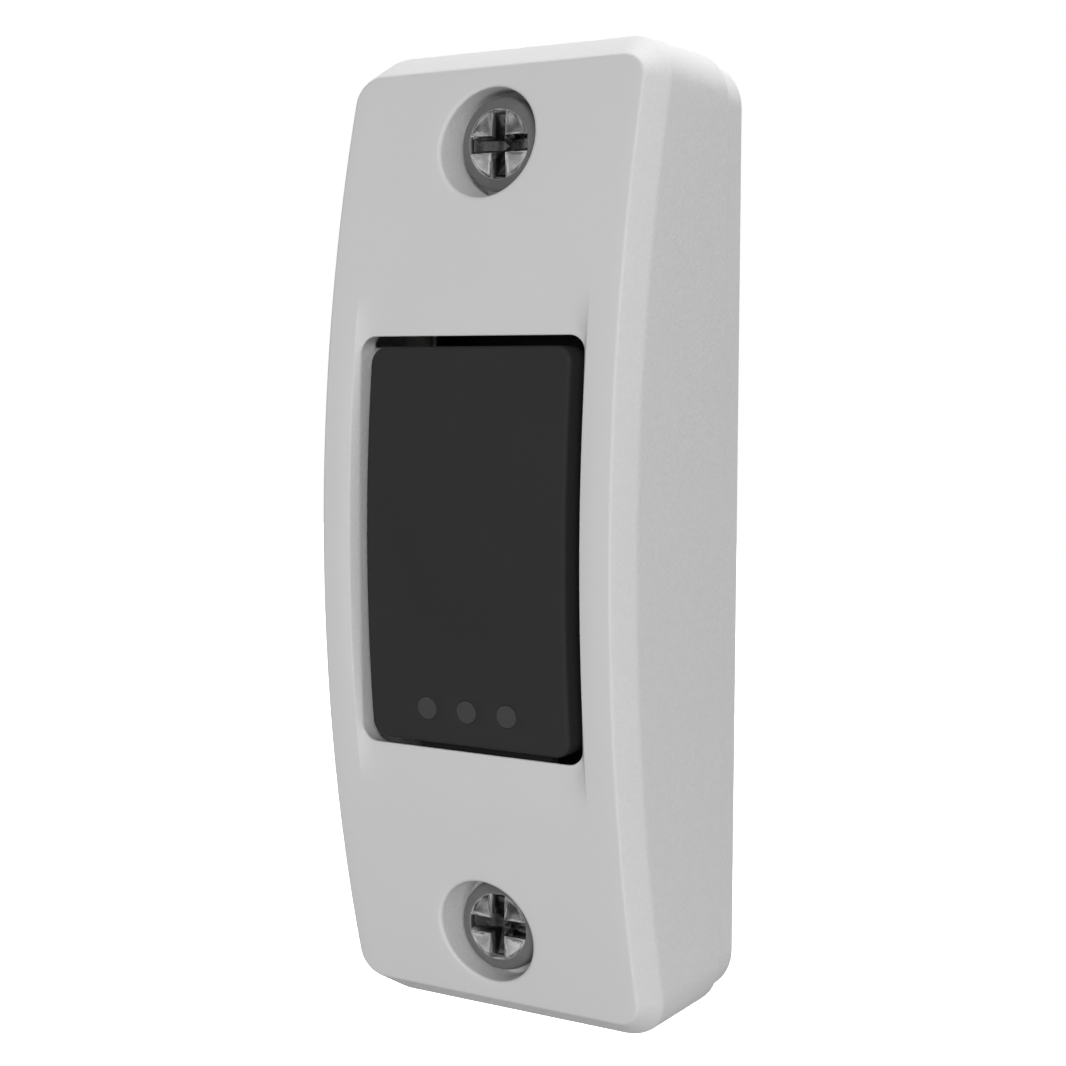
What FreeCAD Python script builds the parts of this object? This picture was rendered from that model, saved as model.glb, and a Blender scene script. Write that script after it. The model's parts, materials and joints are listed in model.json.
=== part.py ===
"""A wired garage door wall button.

The frame is the wall. X runs to the right as the button is seen from the front, Z runs up, and
the back plate lies on the wall at Y = 0. The room is on the -Y side, so depths below are
measured from the wall towards the room, as positive numbers.
"""
import FreeCAD, Part
import Sketcher
import math
import os

doc = FreeCAD.newDocument("wall_button")
sheet = doc.addObject("Spreadsheet::Sheet", "Sizes")

SIZES = {
    # The shell: a 3 in tall housing with an arched front.
    "cover_height": 76.0,
    "cover_width": 27.66,
    "cover_depth": 19.48,
    "arch_radius": 129.5,
    "cover_corner": 3.8,
    "front_wall": 2.2,
    "side_wall": 1.8,
    "bevel_drop": 2.4,
    "side_bevel": 0.95,
    "end_bevel": 1.8,
    "bevel_corner": 2.0,
    # The back plate, whose rim shows as a strip beside the wall.
    "rim_thickness": 2.7,
    "rim_side_inset": 0.2,
    "rim_end_inset": 0.45,
    "floor_thickness": 1.8,
    "tongue_thickness": 1.2,
    "tongue_height": 3.0,
    "tongue_clearance": 0.2,
    # The snap arms and the catches that hold the cover on.
    "snap_width": 6.0,
    "snap_arm": 0.8,
    "snap_slot": 0.8,
    "snap_reach": 8.6,
    "catch_depth": 6.4,
    "catch_height": 0.8,
    "catch_stand": 0.5,
    "hook_stand": 0.5,
    "snap_play": 0.15,
    # The shallow scoop round the button.
    "scoop_width": 20.62,
    "scoop_height": 46.5,
    "scoop_slope": 0.15,
    "scoop_sink": 1.0,
    "scoop_radius": 450.0,
    # The opening and the push paddle in it.
    "opening_width": 20.0,
    "opening_height": 31.56,
    "opening_corner": 1.3,
    "cap_side_gap": 1.05,
    "cap_end_gap": 0.56,
    "cap_drop": 0.17,
    "cap_sink": 0.25,
    "cap_wall": 1.2,
    "cap_face": 1.6,
    "cap_edge": 0.37,
    "cap_corner": 1.3,
    "cap_inner_corner": 0.8,
    "skirt_depth": 14.6,
    "pivot_height": 13.1,
    "pivot_depth": 14.0,
    "pivot_radius": 1.0,
    "pivot_clearance": 0.05,
    "lug_radius": 1.9,
    "ear_gap": 0.25,
    "ear_thickness": 1.2,
    "trunnion_overhang": 0.25,
    "lip_width": 12.0,
    "lip_stand": 1.15,
    "lip_thickness": 1.1,
    "lip_play": 0.2,
    # The three dots are the ends of the light guide's posts.
    "dot_radius": 0.875,
    "dot_spacing": 3.6,
    "dot_height": -12.65,
    "dot_clearance": 0.03,
    "guide_thickness": 1.0,
    "guide_margin": 0.75,
    "guide_foot": 0.12,
    "guide_play": 0.05,
    # The screw wells and the bosses under them.
    "screw_inset": 7.6,
    "well_radius": 4.18,
    "well_wall": 1.2,
    "well_floor": 1.6,
    "well_depth": 3.81,
    "screw_hole": 2.0,
    "boss_radius": 3.6,
    "web_thickness": 1.2,
    "web_depth": 7.0,
    # The wall screws, #6 x 1-1/4 in.
    "head_radius": 3.62,
    "head_height": 2.15,
    "head_flat": 0.25,
    "head_round": 0.8,
    "head_shoulder": 0.27,
    "neck_radius": 1.38,
    "thread_radius": 1.75,
    "thread_root": 1.3,
    "thread_pitch": 1.41,
    "thread_crest": 0.16,
    "thread_start": 0.3,
    "screw_length": 31.75,
    "screw_tip": 4.2,
    "recess_span": 5.15,
    "recess_width": 1.2,
    "recess_depth": 1.35,
    "recess_taper": 12.0,
    # The circuit board and its posts.
    "board_width": 20.4,
    "board_height": 45.0,
    "board_thickness": 1.6,
    "board_back": 6.0,
    "board_corner": 1.0,
    "post_radius": 2.0,
    "post_across": 16.0,
    "post_along": 40.0,
    "pilot_radius": 0.9,
    "pilot_depth": 3.9,
    "board_screw_radius": 0.85,
    "board_screw_length": 5.2,
    "board_head_radius": 1.9,
    "board_head_height": 1.3,
    "board_slot_depth": 0.6,
    "board_slot_width": 0.54,
    "board_slot_length": 2.5,
    "board_hole": 1.1,
    # The push switch.
    "switch_side": 6.0,
    "switch_height": 3.5,
    "switch_at": -1.0,
    "frame_sheet": 0.3,
    "plunger_radius": 1.75,
    "plunger_stand": 1.5,
    "plunger_play": 0.05,
    "plunger_clearance": 0.05,
    "collar_stand": 0.3,
    "collar_thickness": 0.6,
    "switch_travel": 0.35,
    "well_clearance": 0.15,
    "dome_sheet": 0.12,
    "dome_spare": 0.1,
    "dome_play": 0.02,
    "rivet_radius": 0.45,
    "rivet_inset": 0.75,
    "rivet_stand": 0.15,
    "leg_climb": 1.0,
    "leg_along": 4.5,
    "leg_width": 0.7,
    "leg_sheet": 0.3,
    "leg_clearance": 0.2,
    "nose_radius": 1.2,
    "nose_width": 3.2,
    "nose_play": 0.05,
    "rib_tail": 4.8,
    "rib_thickness": 1.0,
    "rib_stand": 1.33,
    # The wired components and their leads.
    "lead_radius": 0.28,
    "lead_hole": 0.45,
    "lead_tail": 1.0,
    "led_radius": 1.5,
    "led_flange": 1.9,
    "led_flange_thickness": 0.9,
    "led_length": 5.2,
    "led_tip": 0.375,
    "led_pitch": 2.54,
    "component_across": 6.6,
    "component_at": -9.0,
    "component_lift": 0.1,
    "resistor_length": 6.3,
    "resistor_radius": 1.1,
    "resistor_end": 1.25,
    "resistor_cap": 1.5,
    "resistor_pitch": 10.16,
    "diode_length": 4.2,
    "diode_radius": 1.0,
    "diode_band_radius": 0.96,
    "diode_cap": 0.9,
    "diode_pitch": 7.62,
    "capacitor_radius": 2.4,
    "capacitor_thickness": 2.2,
    "capacitor_at": 5.1,
    "capacitor_lift": 0.9,
    "capacitor_pitch": 3.4,
    # The terminals on the back of the board, and the window that the wires reach them through.
    "terminal_across": 11.6,
    "terminal_at": 11.5,
    "plate_width": 6.0,
    "plate_length": 8.0,
    "plate_sheet": 0.8,
    "tab_width": 2.0,
    "tab_reach": 1.0,
    "tab_clearance": 0.2,
    "washer_side": 5.6,
    "washer_sheet": 0.8,
    "terminal_head": 2.7,
    "terminal_head_height": 1.8,
    "terminal_shank": 1.5,
    "terminal_clearance": 0.06,
    "terminal_overrun": 0.4,
    "slot_width": 0.8,
    "slot_depth": 0.9,
    "nut_side": 5.5,
    "nut_height": 2.0,
    "window_width": 18.0,
    "window_height": 12.0,
    "window_corner": 1.5,
}

# How far a cut runs past the surface that it opens, and past the whole arch.
OVERRUN = 1.0
FAR = 14.0
# The straight stretches that stand for the snap dome's curve.
DOME_STEPS = 6
# How near a point must be to count as the same, on a plane and on a cut corner.
TOUCHING = 1e-4
NEARLY = 0.05
EAST, WEST = 1, -1


def vector(x, y, z=0.0):
    """A point from three plain numbers."""
    return FreeCAD.Vector(float(x), float(y), float(z))


class Size:
    """A length with the sheet expression that it comes from."""

    def __init__(self, value, text):
        self.value = float(value)
        self.text = text

    @staticmethod
    def of(other):
        return other if isinstance(other, Size) else Size(other, "%.6f" % other)

    def _join(self, sign, other, value):
        return Size(value, "(%s %s %s)" % (self.text, sign, other.text))

    def __add__(self, other):
        other = Size.of(other)
        return self._join("+", other, self.value + other.value)

    def __radd__(self, other):
        return Size.of(other) + self

    def __sub__(self, other):
        other = Size.of(other)
        return self._join("-", other, self.value - other.value)

    def __rsub__(self, other):
        return Size.of(other) - self

    def __mul__(self, other):
        other = Size.of(other)
        return self._join("*", other, self.value * other.value)

    def __rmul__(self, other):
        return Size.of(other) * self

    def __truediv__(self, other):
        other = Size.of(other)
        return self._join("/", other, self.value / other.value)

    def __neg__(self):
        return Size.of(0.0) - self

    def __float__(self):
        return self.value


def root(size):
    """The square root of a size."""
    return Size(math.sqrt(size.value), "sqrt(%s)" % size.text)


def sweep(length, radius):
    """The angle, in degrees, over which an arch of that radius passes both ends of a length."""
    half_turn = math.degrees(math.asin(length.value / 2 / radius.value))
    return Size(half_turn * 2, "2 * asin(%s / 2 / %s)" % (length.text, radius.text))


class Sheet:
    """The driving dimensions by name."""

    def __init__(self, sizes):
        for row, (name, number) in enumerate(sizes.items(), start=1):
            cell = "B%d" % row
            sheet.set("A%d" % row, name)
            sheet.set(cell, str(number))
            sheet.setAlias(cell, name)
        doc.recompute()

    def __getattr__(self, name):
        return Size(sheet.get(name), "Sizes.%s" % name)


S = Sheet(SIZES)


def bind(target, field, size):
    """Ties one property to its sheet expression."""
    if isinstance(size, Size):
        target.setExpression(field, size.text)


class Outline:
    """A sketch on one of its body's own origin planes, moved within it and along its normal."""

    def __init__(self, body, name, role, level, right=0.0, up=0.0):
        self.sketch = body.newObject("Sketcher::SketchObject", name)
        plane = next(item for item in body.Origin.OriginFeatures if item.Role == role)
        self.sketch.AttachmentSupport = [(plane, "")]
        self.sketch.MapMode = "FlatFace"
        base = vector(right, up, level)
        self.sketch.AttachmentOffset = FreeCAD.Placement(base, FreeCAD.Rotation())
        bind(self.sketch, "AttachmentOffset.Base.x", right)
        bind(self.sketch, "AttachmentOffset.Base.y", up)
        bind(self.sketch, "AttachmentOffset.Base.z", level)

    def _hold(self, kind, geometry, corner, size):
        constraint = Sketcher.Constraint(kind, -1, 1, geometry, corner, float(size))
        number = self.sketch.addConstraint(constraint)
        bind(self.sketch, "Constraints[%d]" % number, size)

    def _pin(self, geometry, corner, point):
        self._hold("DistanceX", geometry, corner, point[0])
        self._hold("DistanceY", geometry, corner, point[1])

    def path(self, points, closed=False):
        """Straight runs through the points."""
        first = self.sketch.GeometryCount
        ends = points[1:] + points[:1] if closed else points[1:]
        count = len(ends)
        for start, end in zip(points, ends):
            self.sketch.addGeometry(Part.LineSegment(vector(*start), vector(*end)), False)
        for index in range(count if closed else count - 1):
            following = (index + 1) % count
            joint = Sketcher.Constraint("Coincident", first + index, 2, first + following, 1)
            self.sketch.addConstraint(joint)
        for index in range(count):
            self._pin(first + index, 1, points[index])
        if not closed:
            self._pin(first + count - 1, 2, points[-1])
        return self

    def polygon(self, points):
        return self.path(points, closed=True)

    def rectangle(self, left, right, low, high):
        return self.polygon([(left, low), (right, low), (right, high), (left, high)])

    def centred(self, width, height):
        return self.rectangle(-width / 2, width / 2, -height / 2, height / 2)

    def circle(self, x, y, radius):
        ring = Part.Circle(vector(x, y), vector(0, 0, 1), float(radius))
        number = self.sketch.addGeometry(ring, False)
        self._pin(number, 3, (x, y))
        held = self.sketch.addConstraint(Sketcher.Constraint("Radius", number, float(radius)))
        bind(self.sketch, "Constraints[%d]" % held, radius)
        return self


class Piece:
    """One solid, made by features in order."""

    def __init__(self, label):
        self.body = doc.addObject("PartDesign::Body", label)
        self.body.Label = label
        self.body.AllowCompound = True
        self.count = 0

    def _name(self, word):
        self.count += 1
        return "%s_%s_%d" % (self.body.Name, word, self.count)

    def at_depth(self, depth, z=0.0):
        """A sketch parallel to the wall: its x is X and its y runs up from that height."""
        return Outline(self.body, self._name("front"), "XZ_Plane", depth, up=z)

    def at_side(self, x=0.0, y=0.0, z=0.0):
        """A sketch across the wall: its x runs into the wall and its y runs up."""
        return Outline(self.body, self._name("side"), "YZ_Plane", x, right=y, up=z)

    def at_level(self, z=0.0, y=0.0):
        """A sketch looked at from above: its x is X and its y runs into the wall."""
        return Outline(self.body, self._name("level"), "XY_Plane", z, up=y)

    def _extrude(self, kind, outline, length, both, turned):
        feature = self.body.newObject("PartDesign::" + kind, self._name(kind.lower()))
        feature.Profile = outline.sketch
        feature.Reversed = turned
        if both:
            feature.SideType = "Symmetric"
        feature.Length = float(length)
        bind(feature, "Length", length)
        doc.recompute()
        return feature

    def pad(self, outline, length, both=False):
        """Adds material from the sketch towards the room, or to both sides."""
        self._extrude("Pad", outline, length, both, False)
        return self

    def pocket(self, outline, length, both=False, inwards=False, taper=0.0):
        """Cuts from the sketch towards the room, towards the wall, or to both sides."""
        before = self.body.Shape.Volume
        feature = self._extrude("Pocket", outline, length, both, not inwards)
        if float(taper):
            feature.TaperAngle = float(taper)
            bind(feature, "TaperAngle", taper)
            doc.recompute()
        if self.body.Shape.Volume > before - 1e-6:
            raise RuntimeError("%s removes nothing" % feature.Name)
        return self

    def _turn(self, kind, outline, axis, angle, both):
        feature = self.body.newObject("PartDesign::" + kind, self._name(kind.lower()))
        feature.Profile = outline.sketch
        feature.ReferenceAxis = (outline.sketch, [axis])
        feature.Angle = float(angle)
        bind(feature, "Angle", angle)
        feature.Midplane = both
        doc.recompute()
        return feature

    def revolve(self, outline, axis, angle=360.0, both=False):
        self._turn("Revolution", outline, axis, angle, both)
        return self

    def groove(self, outline, axis, angle=360.0, both=False):
        before = self.body.Shape.Volume
        feature = self._turn("Groove", outline, axis, angle, both)
        if self.body.Shape.Volume > before - 1e-6:
            raise RuntimeError("%s removes nothing" % feature.Name)
        return self

    def _edges(self, wanted):
        names = []
        for number, edge in enumerate(self.body.Shape.Edges, start=1):
            if wanted(edge):
                names.append("Edge%d" % number)
        if not names:
            raise RuntimeError("%s has no such edge" % self.body.Label)
        return names

    def fillet(self, radius, wanted):
        names = self._edges(wanted)
        last = self.body.Tip
        feature = self.body.newObject("PartDesign::Fillet", self._name("fillet"))
        feature.Base = (last, names)
        feature.Radius = float(radius)
        bind(feature, "Radius", radius)
        doc.recompute()
        return self

    def pipe(self, section, route):
        """Adds a wire of that section along the route, with round elbows."""
        feature = self.body.newObject("PartDesign::AdditivePipe", self._name("pipe"))
        feature.Profile = section.sketch
        feature.Spine = (route.sketch, [])
        feature.Transition = "Round corner"
        doc.recompute()
        return self

    def without(self, *tools):
        """Takes other pieces' solids away from this one."""
        feature = self.body.newObject("PartDesign::Boolean", self._name("cut"))
        feature.Type = "Cut"
        feature.setObjects([tool.body for tool in tools])
        doc.recompute()
        return self


def same(a, b, slack=TOUCHING):
    return abs(float(a) - float(b)) < slack


def ends(edge):
    """The two end points of an open edge."""
    return [vertex.Point for vertex in edge.Vertexes]


def straight_along(axis):
    """Tests whether an edge is a straight line along one of the axes."""
    def test(edge):
        if edge.Curve.TypeId != "Part::GeomLine" or len(edge.Vertexes) < 2:
            return False
        direction = edge.Curve.Direction
        return abs(abs(getattr(direction, axis)) - 1.0) < 1e-6
    return test


def corner_edges(half_width, half_height, middle=0.0):
    """Tests for the four straight edges along Y at the corners of a rectangle."""
    along = straight_along("y")

    def test(edge):
        if not along(edge):
            return False
        point = ends(edge)[0]
        return same(abs(point.x), half_width) and same(abs(point.z - float(middle)), half_height)
    return test


# Places that several pieces share.
half_width = S.cover_width / 2
half_height = S.cover_height / 2
inner_half_width = half_width - S.side_wall
inner_half_height = half_height - S.side_wall
arch_centre = S.arch_radius - S.cover_depth
screw_height = half_height - S.screw_inset
board_front = S.board_back + S.board_thickness
pivot_z = S.pivot_height
cap_half_width = S.opening_width / 2 - S.cap_side_gap
cap_half_height = S.opening_height / 2 - S.cap_end_gap
cap_middle = -S.cap_drop
cap_foot = cap_middle - cap_half_height
cap_radius = S.arch_radius - S.cap_sink
switch_top = board_front + S.switch_height
plunger_tip = switch_top + S.plunger_stand
tongue_half_width = inner_half_width - S.tongue_clearance
tongue_half_height = inner_half_height - S.tongue_clearance
tongue_inside = tongue_half_width - S.tongue_thickness
ear_inside = S.opening_width / 2 + S.ear_gap
ear_outside = ear_inside + S.ear_thickness
lead_end = S.board_back - S.lead_tail
dome_top = switch_top - S.frame_sheet - S.plunger_play - S.collar_thickness - S.dome_play
collar_back = dome_top + S.dome_play
dome_rise = S.switch_travel + S.dome_spare
dome_seat = dome_top - dome_rise - S.dome_sheet


def arch_depth(radius, z):
    """Depth of the surface at height z, on an arch of the shell's centre."""
    return root(radius * radius - z * z) - arch_centre


seat_depth = arch_depth(S.arch_radius, screw_height) - S.well_depth
boss_top = seat_depth - S.well_floor
rib_back = arch_depth(cap_radius - S.cap_face, S.switch_at) - S.rib_stand


def front_arch(piece, radius, reach, bevel=0.0, drop=0.0):
    """Turns everything outside the arch away, and bevels its two long edges."""
    profile = piece.at_level(y=arch_centre)
    points = [(reach - bevel, -radius)]
    if float(drop):
        points.append((reach + OVERRUN, drop + drop / bevel * OVERRUN - radius))
    else:
        points.append((reach + OVERRUN, -radius))
    points.append((reach + OVERRUN, -radius - FAR))
    mirrored = [(-x, y) for x, y in reversed(points)]
    profile.polygon(points + mirrored)
    turn = sweep(S.cover_height + 2.0 * OVERRUN, radius - drop)
    return piece.groove(profile, "H_Axis", turn, both=True)


def arched_block(label, half_x, half_z, back, corner, middle=0.0):
    """A round-cornered block, ready for its arched front, about a middle height."""
    block = Piece(label)
    outline = block.at_depth(back, middle).centred(half_x * 2, half_z * 2)
    block.pad(outline, S.cover_depth + OVERRUN - back)
    block.fillet(corner, corner_edges(half_x, half_z, middle))
    return block


def make_cover_hollow():
    """The space inside the cover, with the wells, ears and catches left standing."""
    hollow = arched_block(
        "cover_hollow", inner_half_width, inner_half_height, S.rim_thickness - OVERRUN,
        S.cover_corner - S.side_wall)
    front_arch(hollow, S.arch_radius - S.front_wall, inner_half_width)
    well_outside = S.well_radius + S.well_wall
    towers = hollow.at_depth(boss_top)
    webs = hollow.at_depth(S.web_depth)
    for side in (EAST, WEST):
        towers.circle(Size.of(0.0), screw_height * side, well_outside)
        edge = (screw_height + S.well_radius + S.well_wall / 2) * side
        wall = (inner_half_height + OVERRUN) * side
        low, high = (edge, wall) if side > 0 else (wall, edge)
        webs.rectangle(-S.web_thickness / 2, S.web_thickness / 2, low, high)
    hollow.pocket(towers, S.cover_depth)
    hollow.pocket(webs, S.cover_depth)
    for side in (EAST, WEST):
        middle = (ear_inside + ear_outside) / 2 * side
        ear = hollow.at_side(middle)
        ear.circle(-S.pivot_depth, pivot_z, S.lug_radius)
        hollow.pocket(ear, S.ear_thickness, both=True)
        root_of_ear = hollow.at_side(middle)
        root_of_ear.rectangle(-S.cover_depth - OVERRUN, -S.pivot_depth,
                              pivot_z - S.lug_radius, pivot_z + S.lug_radius)
        hollow.pocket(root_of_ear, S.ear_thickness, both=True)
    catches = hollow.at_depth(S.catch_depth)
    for side in (EAST, WEST):
        inner = (inner_half_width - S.catch_stand) * side
        outer = (inner_half_width + OVERRUN) * side
        low, high = (inner, outer) if side > 0 else (outer, inner)
        catches.rectangle(low, high, -S.snap_width / 2, S.snap_width / 2)
    hollow.pocket(catches, S.catch_height)
    return hollow


def make_front_cover():
    """The arched shell: outer form, hollow, wells, scoop and button opening."""
    cover = arched_block("front_cover", half_width, half_height, S.rim_thickness,
                         S.cover_corner)
    front_arch(cover, S.arch_radius, half_width, S.side_bevel, S.bevel_drop)
    inner_z = half_height - S.end_bevel
    inner_depth = arch_depth(S.arch_radius, inner_z)
    outer_depth = arch_depth(S.arch_radius, half_height) - S.bevel_drop
    slope = (inner_depth - outer_depth) / S.end_bevel
    bevels = cover.at_side()
    for side in (EAST, WEST):
        bevels.polygon([
            (-inner_depth - slope * OVERRUN, (inner_z - OVERRUN) * side),
            (-outer_depth + slope * OVERRUN, (half_height + OVERRUN) * side),
            (-inner_depth - slope * OVERRUN, (half_height + OVERRUN) * side)])
    cover.pocket(bevels, S.cover_width * 2, both=True)
    ridge_start = half_width - S.side_bevel

    def ridge(edge):
        if len(edge.Vertexes) != 2:
            return False
        points = ends(edge)
        foremost = min(points, key=lambda point: point.y)
        slanted = not same(points[0].z, points[1].z, NEARLY) \
            and not same(points[0].x, points[1].x, NEARLY)
        return slanted and same(abs(foremost.x), ridge_start, NEARLY) \
            and same(abs(foremost.z), inner_z, NEARLY)
    cover.fillet(S.bevel_corner, ridge)
    cover.without(make_cover_hollow())

    wells = cover.at_depth(seat_depth)
    holes = cover.at_depth(boss_top - OVERRUN)
    for side in (EAST, WEST):
        wells.circle(Size.of(0.0), screw_height * side, S.well_radius)
        holes.circle(Size.of(0.0), screw_height * side, S.screw_hole)
    cover.pocket(wells, S.cover_depth)
    cover.pocket(holes, S.cover_depth)

    scoop = cover.at_level(y=S.scoop_radius - S.cover_depth + S.scoop_sink)
    floor = S.scoop_width / 2 - S.scoop_slope
    flank = S.scoop_sink + OVERRUN
    spread = S.scoop_slope / S.scoop_sink * flank
    scoop.polygon([(-floor, -S.scoop_radius), (floor, -S.scoop_radius),
                   (floor + spread, -S.scoop_radius - flank),
                   (-floor - spread, -S.scoop_radius - flank)])
    cover.groove(scoop, "H_Axis", sweep(S.scoop_height, S.scoop_radius), both=True)

    opening = cover.at_depth(S.skirt_depth)
    opening.centred(S.opening_width, S.opening_height)
    cover.pocket(opening, S.cover_depth)
    cover.fillet(S.opening_corner, corner_edges(S.opening_width / 2, S.opening_height / 2))

    bores = cover.at_side()
    bores.circle(-S.pivot_depth, pivot_z, S.pivot_radius + S.pivot_clearance)
    cover.pocket(bores, (ear_outside + S.trunnion_overhang) * 2, both=True)
    return cover


def make_base_plate():
    """The back plate: rim, tongue, bosses, posts, snap arms and wire window."""
    plate = Piece("base_plate")
    rim_half_width = half_width - S.rim_side_inset
    rim_half_height = half_height - S.rim_end_inset
    plate.pad(plate.at_depth(0.0).centred(rim_half_width * 2, rim_half_height * 2), S.rim_thickness)
    plate.fillet(S.cover_corner, corner_edges(rim_half_width, rim_half_height))
    tongue = plate.at_depth(S.rim_thickness)
    tongue.centred(tongue_half_width * 2, tongue_half_height * 2)
    plate.pad(tongue, S.tongue_height)
    corner = S.cover_corner - S.side_wall - S.tongue_clearance
    plate.fillet(corner, corner_edges(tongue_half_width, tongue_half_height))
    inside = plate.at_depth(S.floor_thickness)
    inside.centred(tongue_inside * 2, (tongue_half_height - S.tongue_thickness) * 2)
    plate.pocket(inside, S.cover_depth)

    bosses = plate.at_depth(0.0)
    holes = plate.at_depth(0.0)
    for side in (EAST, WEST):
        bosses.circle(Size.of(0.0), screw_height * side, S.boss_radius)
        holes.circle(Size.of(0.0), screw_height * side, S.screw_hole)
    plate.pad(bosses, boss_top)
    plate.pocket(holes, S.cover_depth)

    posts = plate.at_depth(0.0)
    pilots = plate.at_depth(S.board_back - S.pilot_depth)
    for x, z in post_places():
        posts.circle(x, z, S.post_radius)
        pilots.circle(x, z, S.pilot_radius)
    plate.pad(posts, S.board_back)
    plate.pocket(pilots, S.cover_depth)

    arms = plate.at_depth(S.rim_thickness)
    hooks = plate.at_depth(S.catch_depth + S.catch_height + S.snap_play)
    slots = plate.at_depth(S.rim_thickness)
    half_snap = S.snap_width / 2
    for side in (EAST, WEST):
        inner = tongue_inside * side
        outer = (tongue_inside + S.snap_arm) * side
        hook = (tongue_inside + S.snap_arm + S.hook_stand) * side
        cut_in = (tongue_inside - OVERRUN) * side
        cut_out = (tongue_half_width + OVERRUN) * side
        arms.rectangle(*sorted((inner, outer), key=float), -half_snap, half_snap)
        hooks.rectangle(*sorted((inner, hook), key=float), -half_snap, half_snap)
        for end in (EAST, WEST):
            near, far = half_snap * end, (half_snap + S.snap_slot) * end
            slots.rectangle(*sorted((cut_in, cut_out), key=float), *sorted((near, far), key=float))
    plate.pad(arms, S.snap_reach - S.rim_thickness)
    plate.pad(hooks, S.snap_reach - S.catch_depth - S.catch_height - S.snap_play)
    plate.pocket(slots, S.tongue_height + OVERRUN)

    window = plate.at_depth(0.0)
    low = S.terminal_at - S.window_height / 2
    high = S.terminal_at + S.window_height / 2
    window.rectangle(-S.window_width / 2, S.window_width / 2, low, high)
    plate.pocket(window, S.floor_thickness + OVERRUN)

    def window_corner(edge):
        point = ends(edge)[0] if straight_along("y")(edge) else None
        return point is not None and same(abs(point.x), S.window_width / 2) \
            and (same(point.z, low) or same(point.z, high))
    plate.fillet(S.window_corner, window_corner)
    return plate


def post_places():
    """Centres of the four board posts."""
    return [(S.post_across / 2 * east, S.post_along / 2 * up)
            for east in (EAST, WEST) for up in (EAST, WEST)]


def terminal_places():
    """Centres of the two terminals."""
    return [(S.terminal_across / 2 * side, S.terminal_at) for side in (EAST, WEST)]


def dot_places():
    """Centres of the three dots."""
    return [(S.dot_spacing * step, S.dot_height) for step in (-1, 0, 1)]


def make_cap_hollow():
    """The space inside the push paddle, with its switch rib left standing."""
    radius = cap_radius - S.cap_face
    half_x = cap_half_width - S.cap_wall
    half_z = cap_half_height - S.cap_wall
    hollow = arched_block("cap_hollow", half_x, half_z, S.skirt_depth - OVERRUN,
                          S.cap_inner_corner, cap_middle)
    front_arch(hollow, radius, half_x)
    ribs = hollow.at_depth(rib_back)
    ribs.rectangle(-S.rib_thickness / 2, S.rib_thickness / 2,
                   S.switch_at - S.rib_tail, cap_middle + half_z + OVERRUN)
    hollow.pocket(ribs, S.cover_depth)
    cross = hollow.at_depth(rib_back)
    cross.rectangle(-half_x - OVERRUN, half_x + OVERRUN,
                    S.switch_at - S.rib_thickness / 2, S.switch_at + S.rib_thickness / 2)
    hollow.pocket(cross, S.cover_depth)
    return hollow


def make_button_cap():
    """The push paddle: arched face, skirt, lugs, trunnions, stop lip and switch nose."""
    cap = arched_block("button_cap", cap_half_width, cap_half_height, S.skirt_depth,
                       S.cap_corner, cap_middle)
    front_arch(cap, cap_radius, cap_half_width)

    def face_edge(edge):
        middle = edge.valueAt((edge.FirstParameter + edge.LastParameter) / 2)
        return -middle.y > float(S.skirt_depth + S.cap_face) and not straight_along("y")(edge)
    cap.fillet(S.cap_edge, face_edge)
    cap.without(make_cap_hollow())

    for side in (EAST, WEST):
        middle = (cap_half_width - S.cap_wall / 2) * side
        lug = cap.at_side(middle).circle(-S.pivot_depth, pivot_z, S.lug_radius)
        cap.pad(lug, S.cap_wall, both=True)
        reach = ear_outside + S.trunnion_overhang - cap_half_width + S.cap_wall / 2
        stub = cap.at_side((cap_half_width - S.cap_wall / 2) * side + reach / 2 * side)
        stub.circle(-S.pivot_depth, pivot_z, S.pivot_radius)
        cap.pad(stub, reach, both=True)

    stop = arch_depth(S.arch_radius - S.front_wall, cap_foot - S.lip_stand) - S.lip_play
    lip = cap.at_depth(stop - S.lip_thickness)
    lip.rectangle(-S.lip_width / 2, S.lip_width / 2,
                  cap_foot - S.lip_stand, cap_foot + S.cap_wall / 2)
    cap.pad(lip, S.lip_thickness)

    tip = plunger_tip + S.nose_play
    nose = cap.at_side()
    nose.rectangle(-rib_back - OVERRUN, -tip - S.nose_radius,
                   S.switch_at - S.nose_radius, S.switch_at + S.nose_radius)
    cap.pad(nose, S.nose_width, both=True)
    cap.pad(cap.at_side().circle(-tip - S.nose_radius, S.switch_at, S.nose_radius),
            S.nose_width, both=True)

    holes = cap.at_depth(S.skirt_depth)
    for x, z in dot_places():
        holes.circle(x, z, S.dot_radius + S.dot_clearance)
    cap.pocket(holes, S.cover_depth)
    return cap


def make_light_guide():
    """One grey translucent moulding: a bar behind the paddle's face and three posts."""
    guide = Piece("light_guide")
    low = cap_foot + S.cap_wall + S.guide_foot
    high = S.dot_height + S.dot_radius + S.guide_margin
    reach = S.dot_spacing + S.dot_radius + S.guide_margin
    bar_front = arch_depth(cap_radius - S.cap_face, low) - S.guide_play
    bar = guide.at_depth(bar_front - S.guide_thickness).rectangle(-reach, reach, low, high)
    guide.pad(bar, S.guide_thickness)
    posts = guide.at_depth(bar_front - S.guide_thickness)
    for x, z in dot_places():
        posts.circle(x, z, S.dot_radius)
    guide.pad(posts, S.cover_depth - bar_front + S.guide_thickness)
    front_arch(guide, cap_radius, reach)
    return guide


def make_wall_screws():
    """Two pan head Phillips screws: head, plain neck inside the housing, thread in the wall."""
    screws = Piece("wall_screws")
    for side in (EAST, WEST):
        add_wall_screw(screws, screw_height * side)
    return screws


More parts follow.
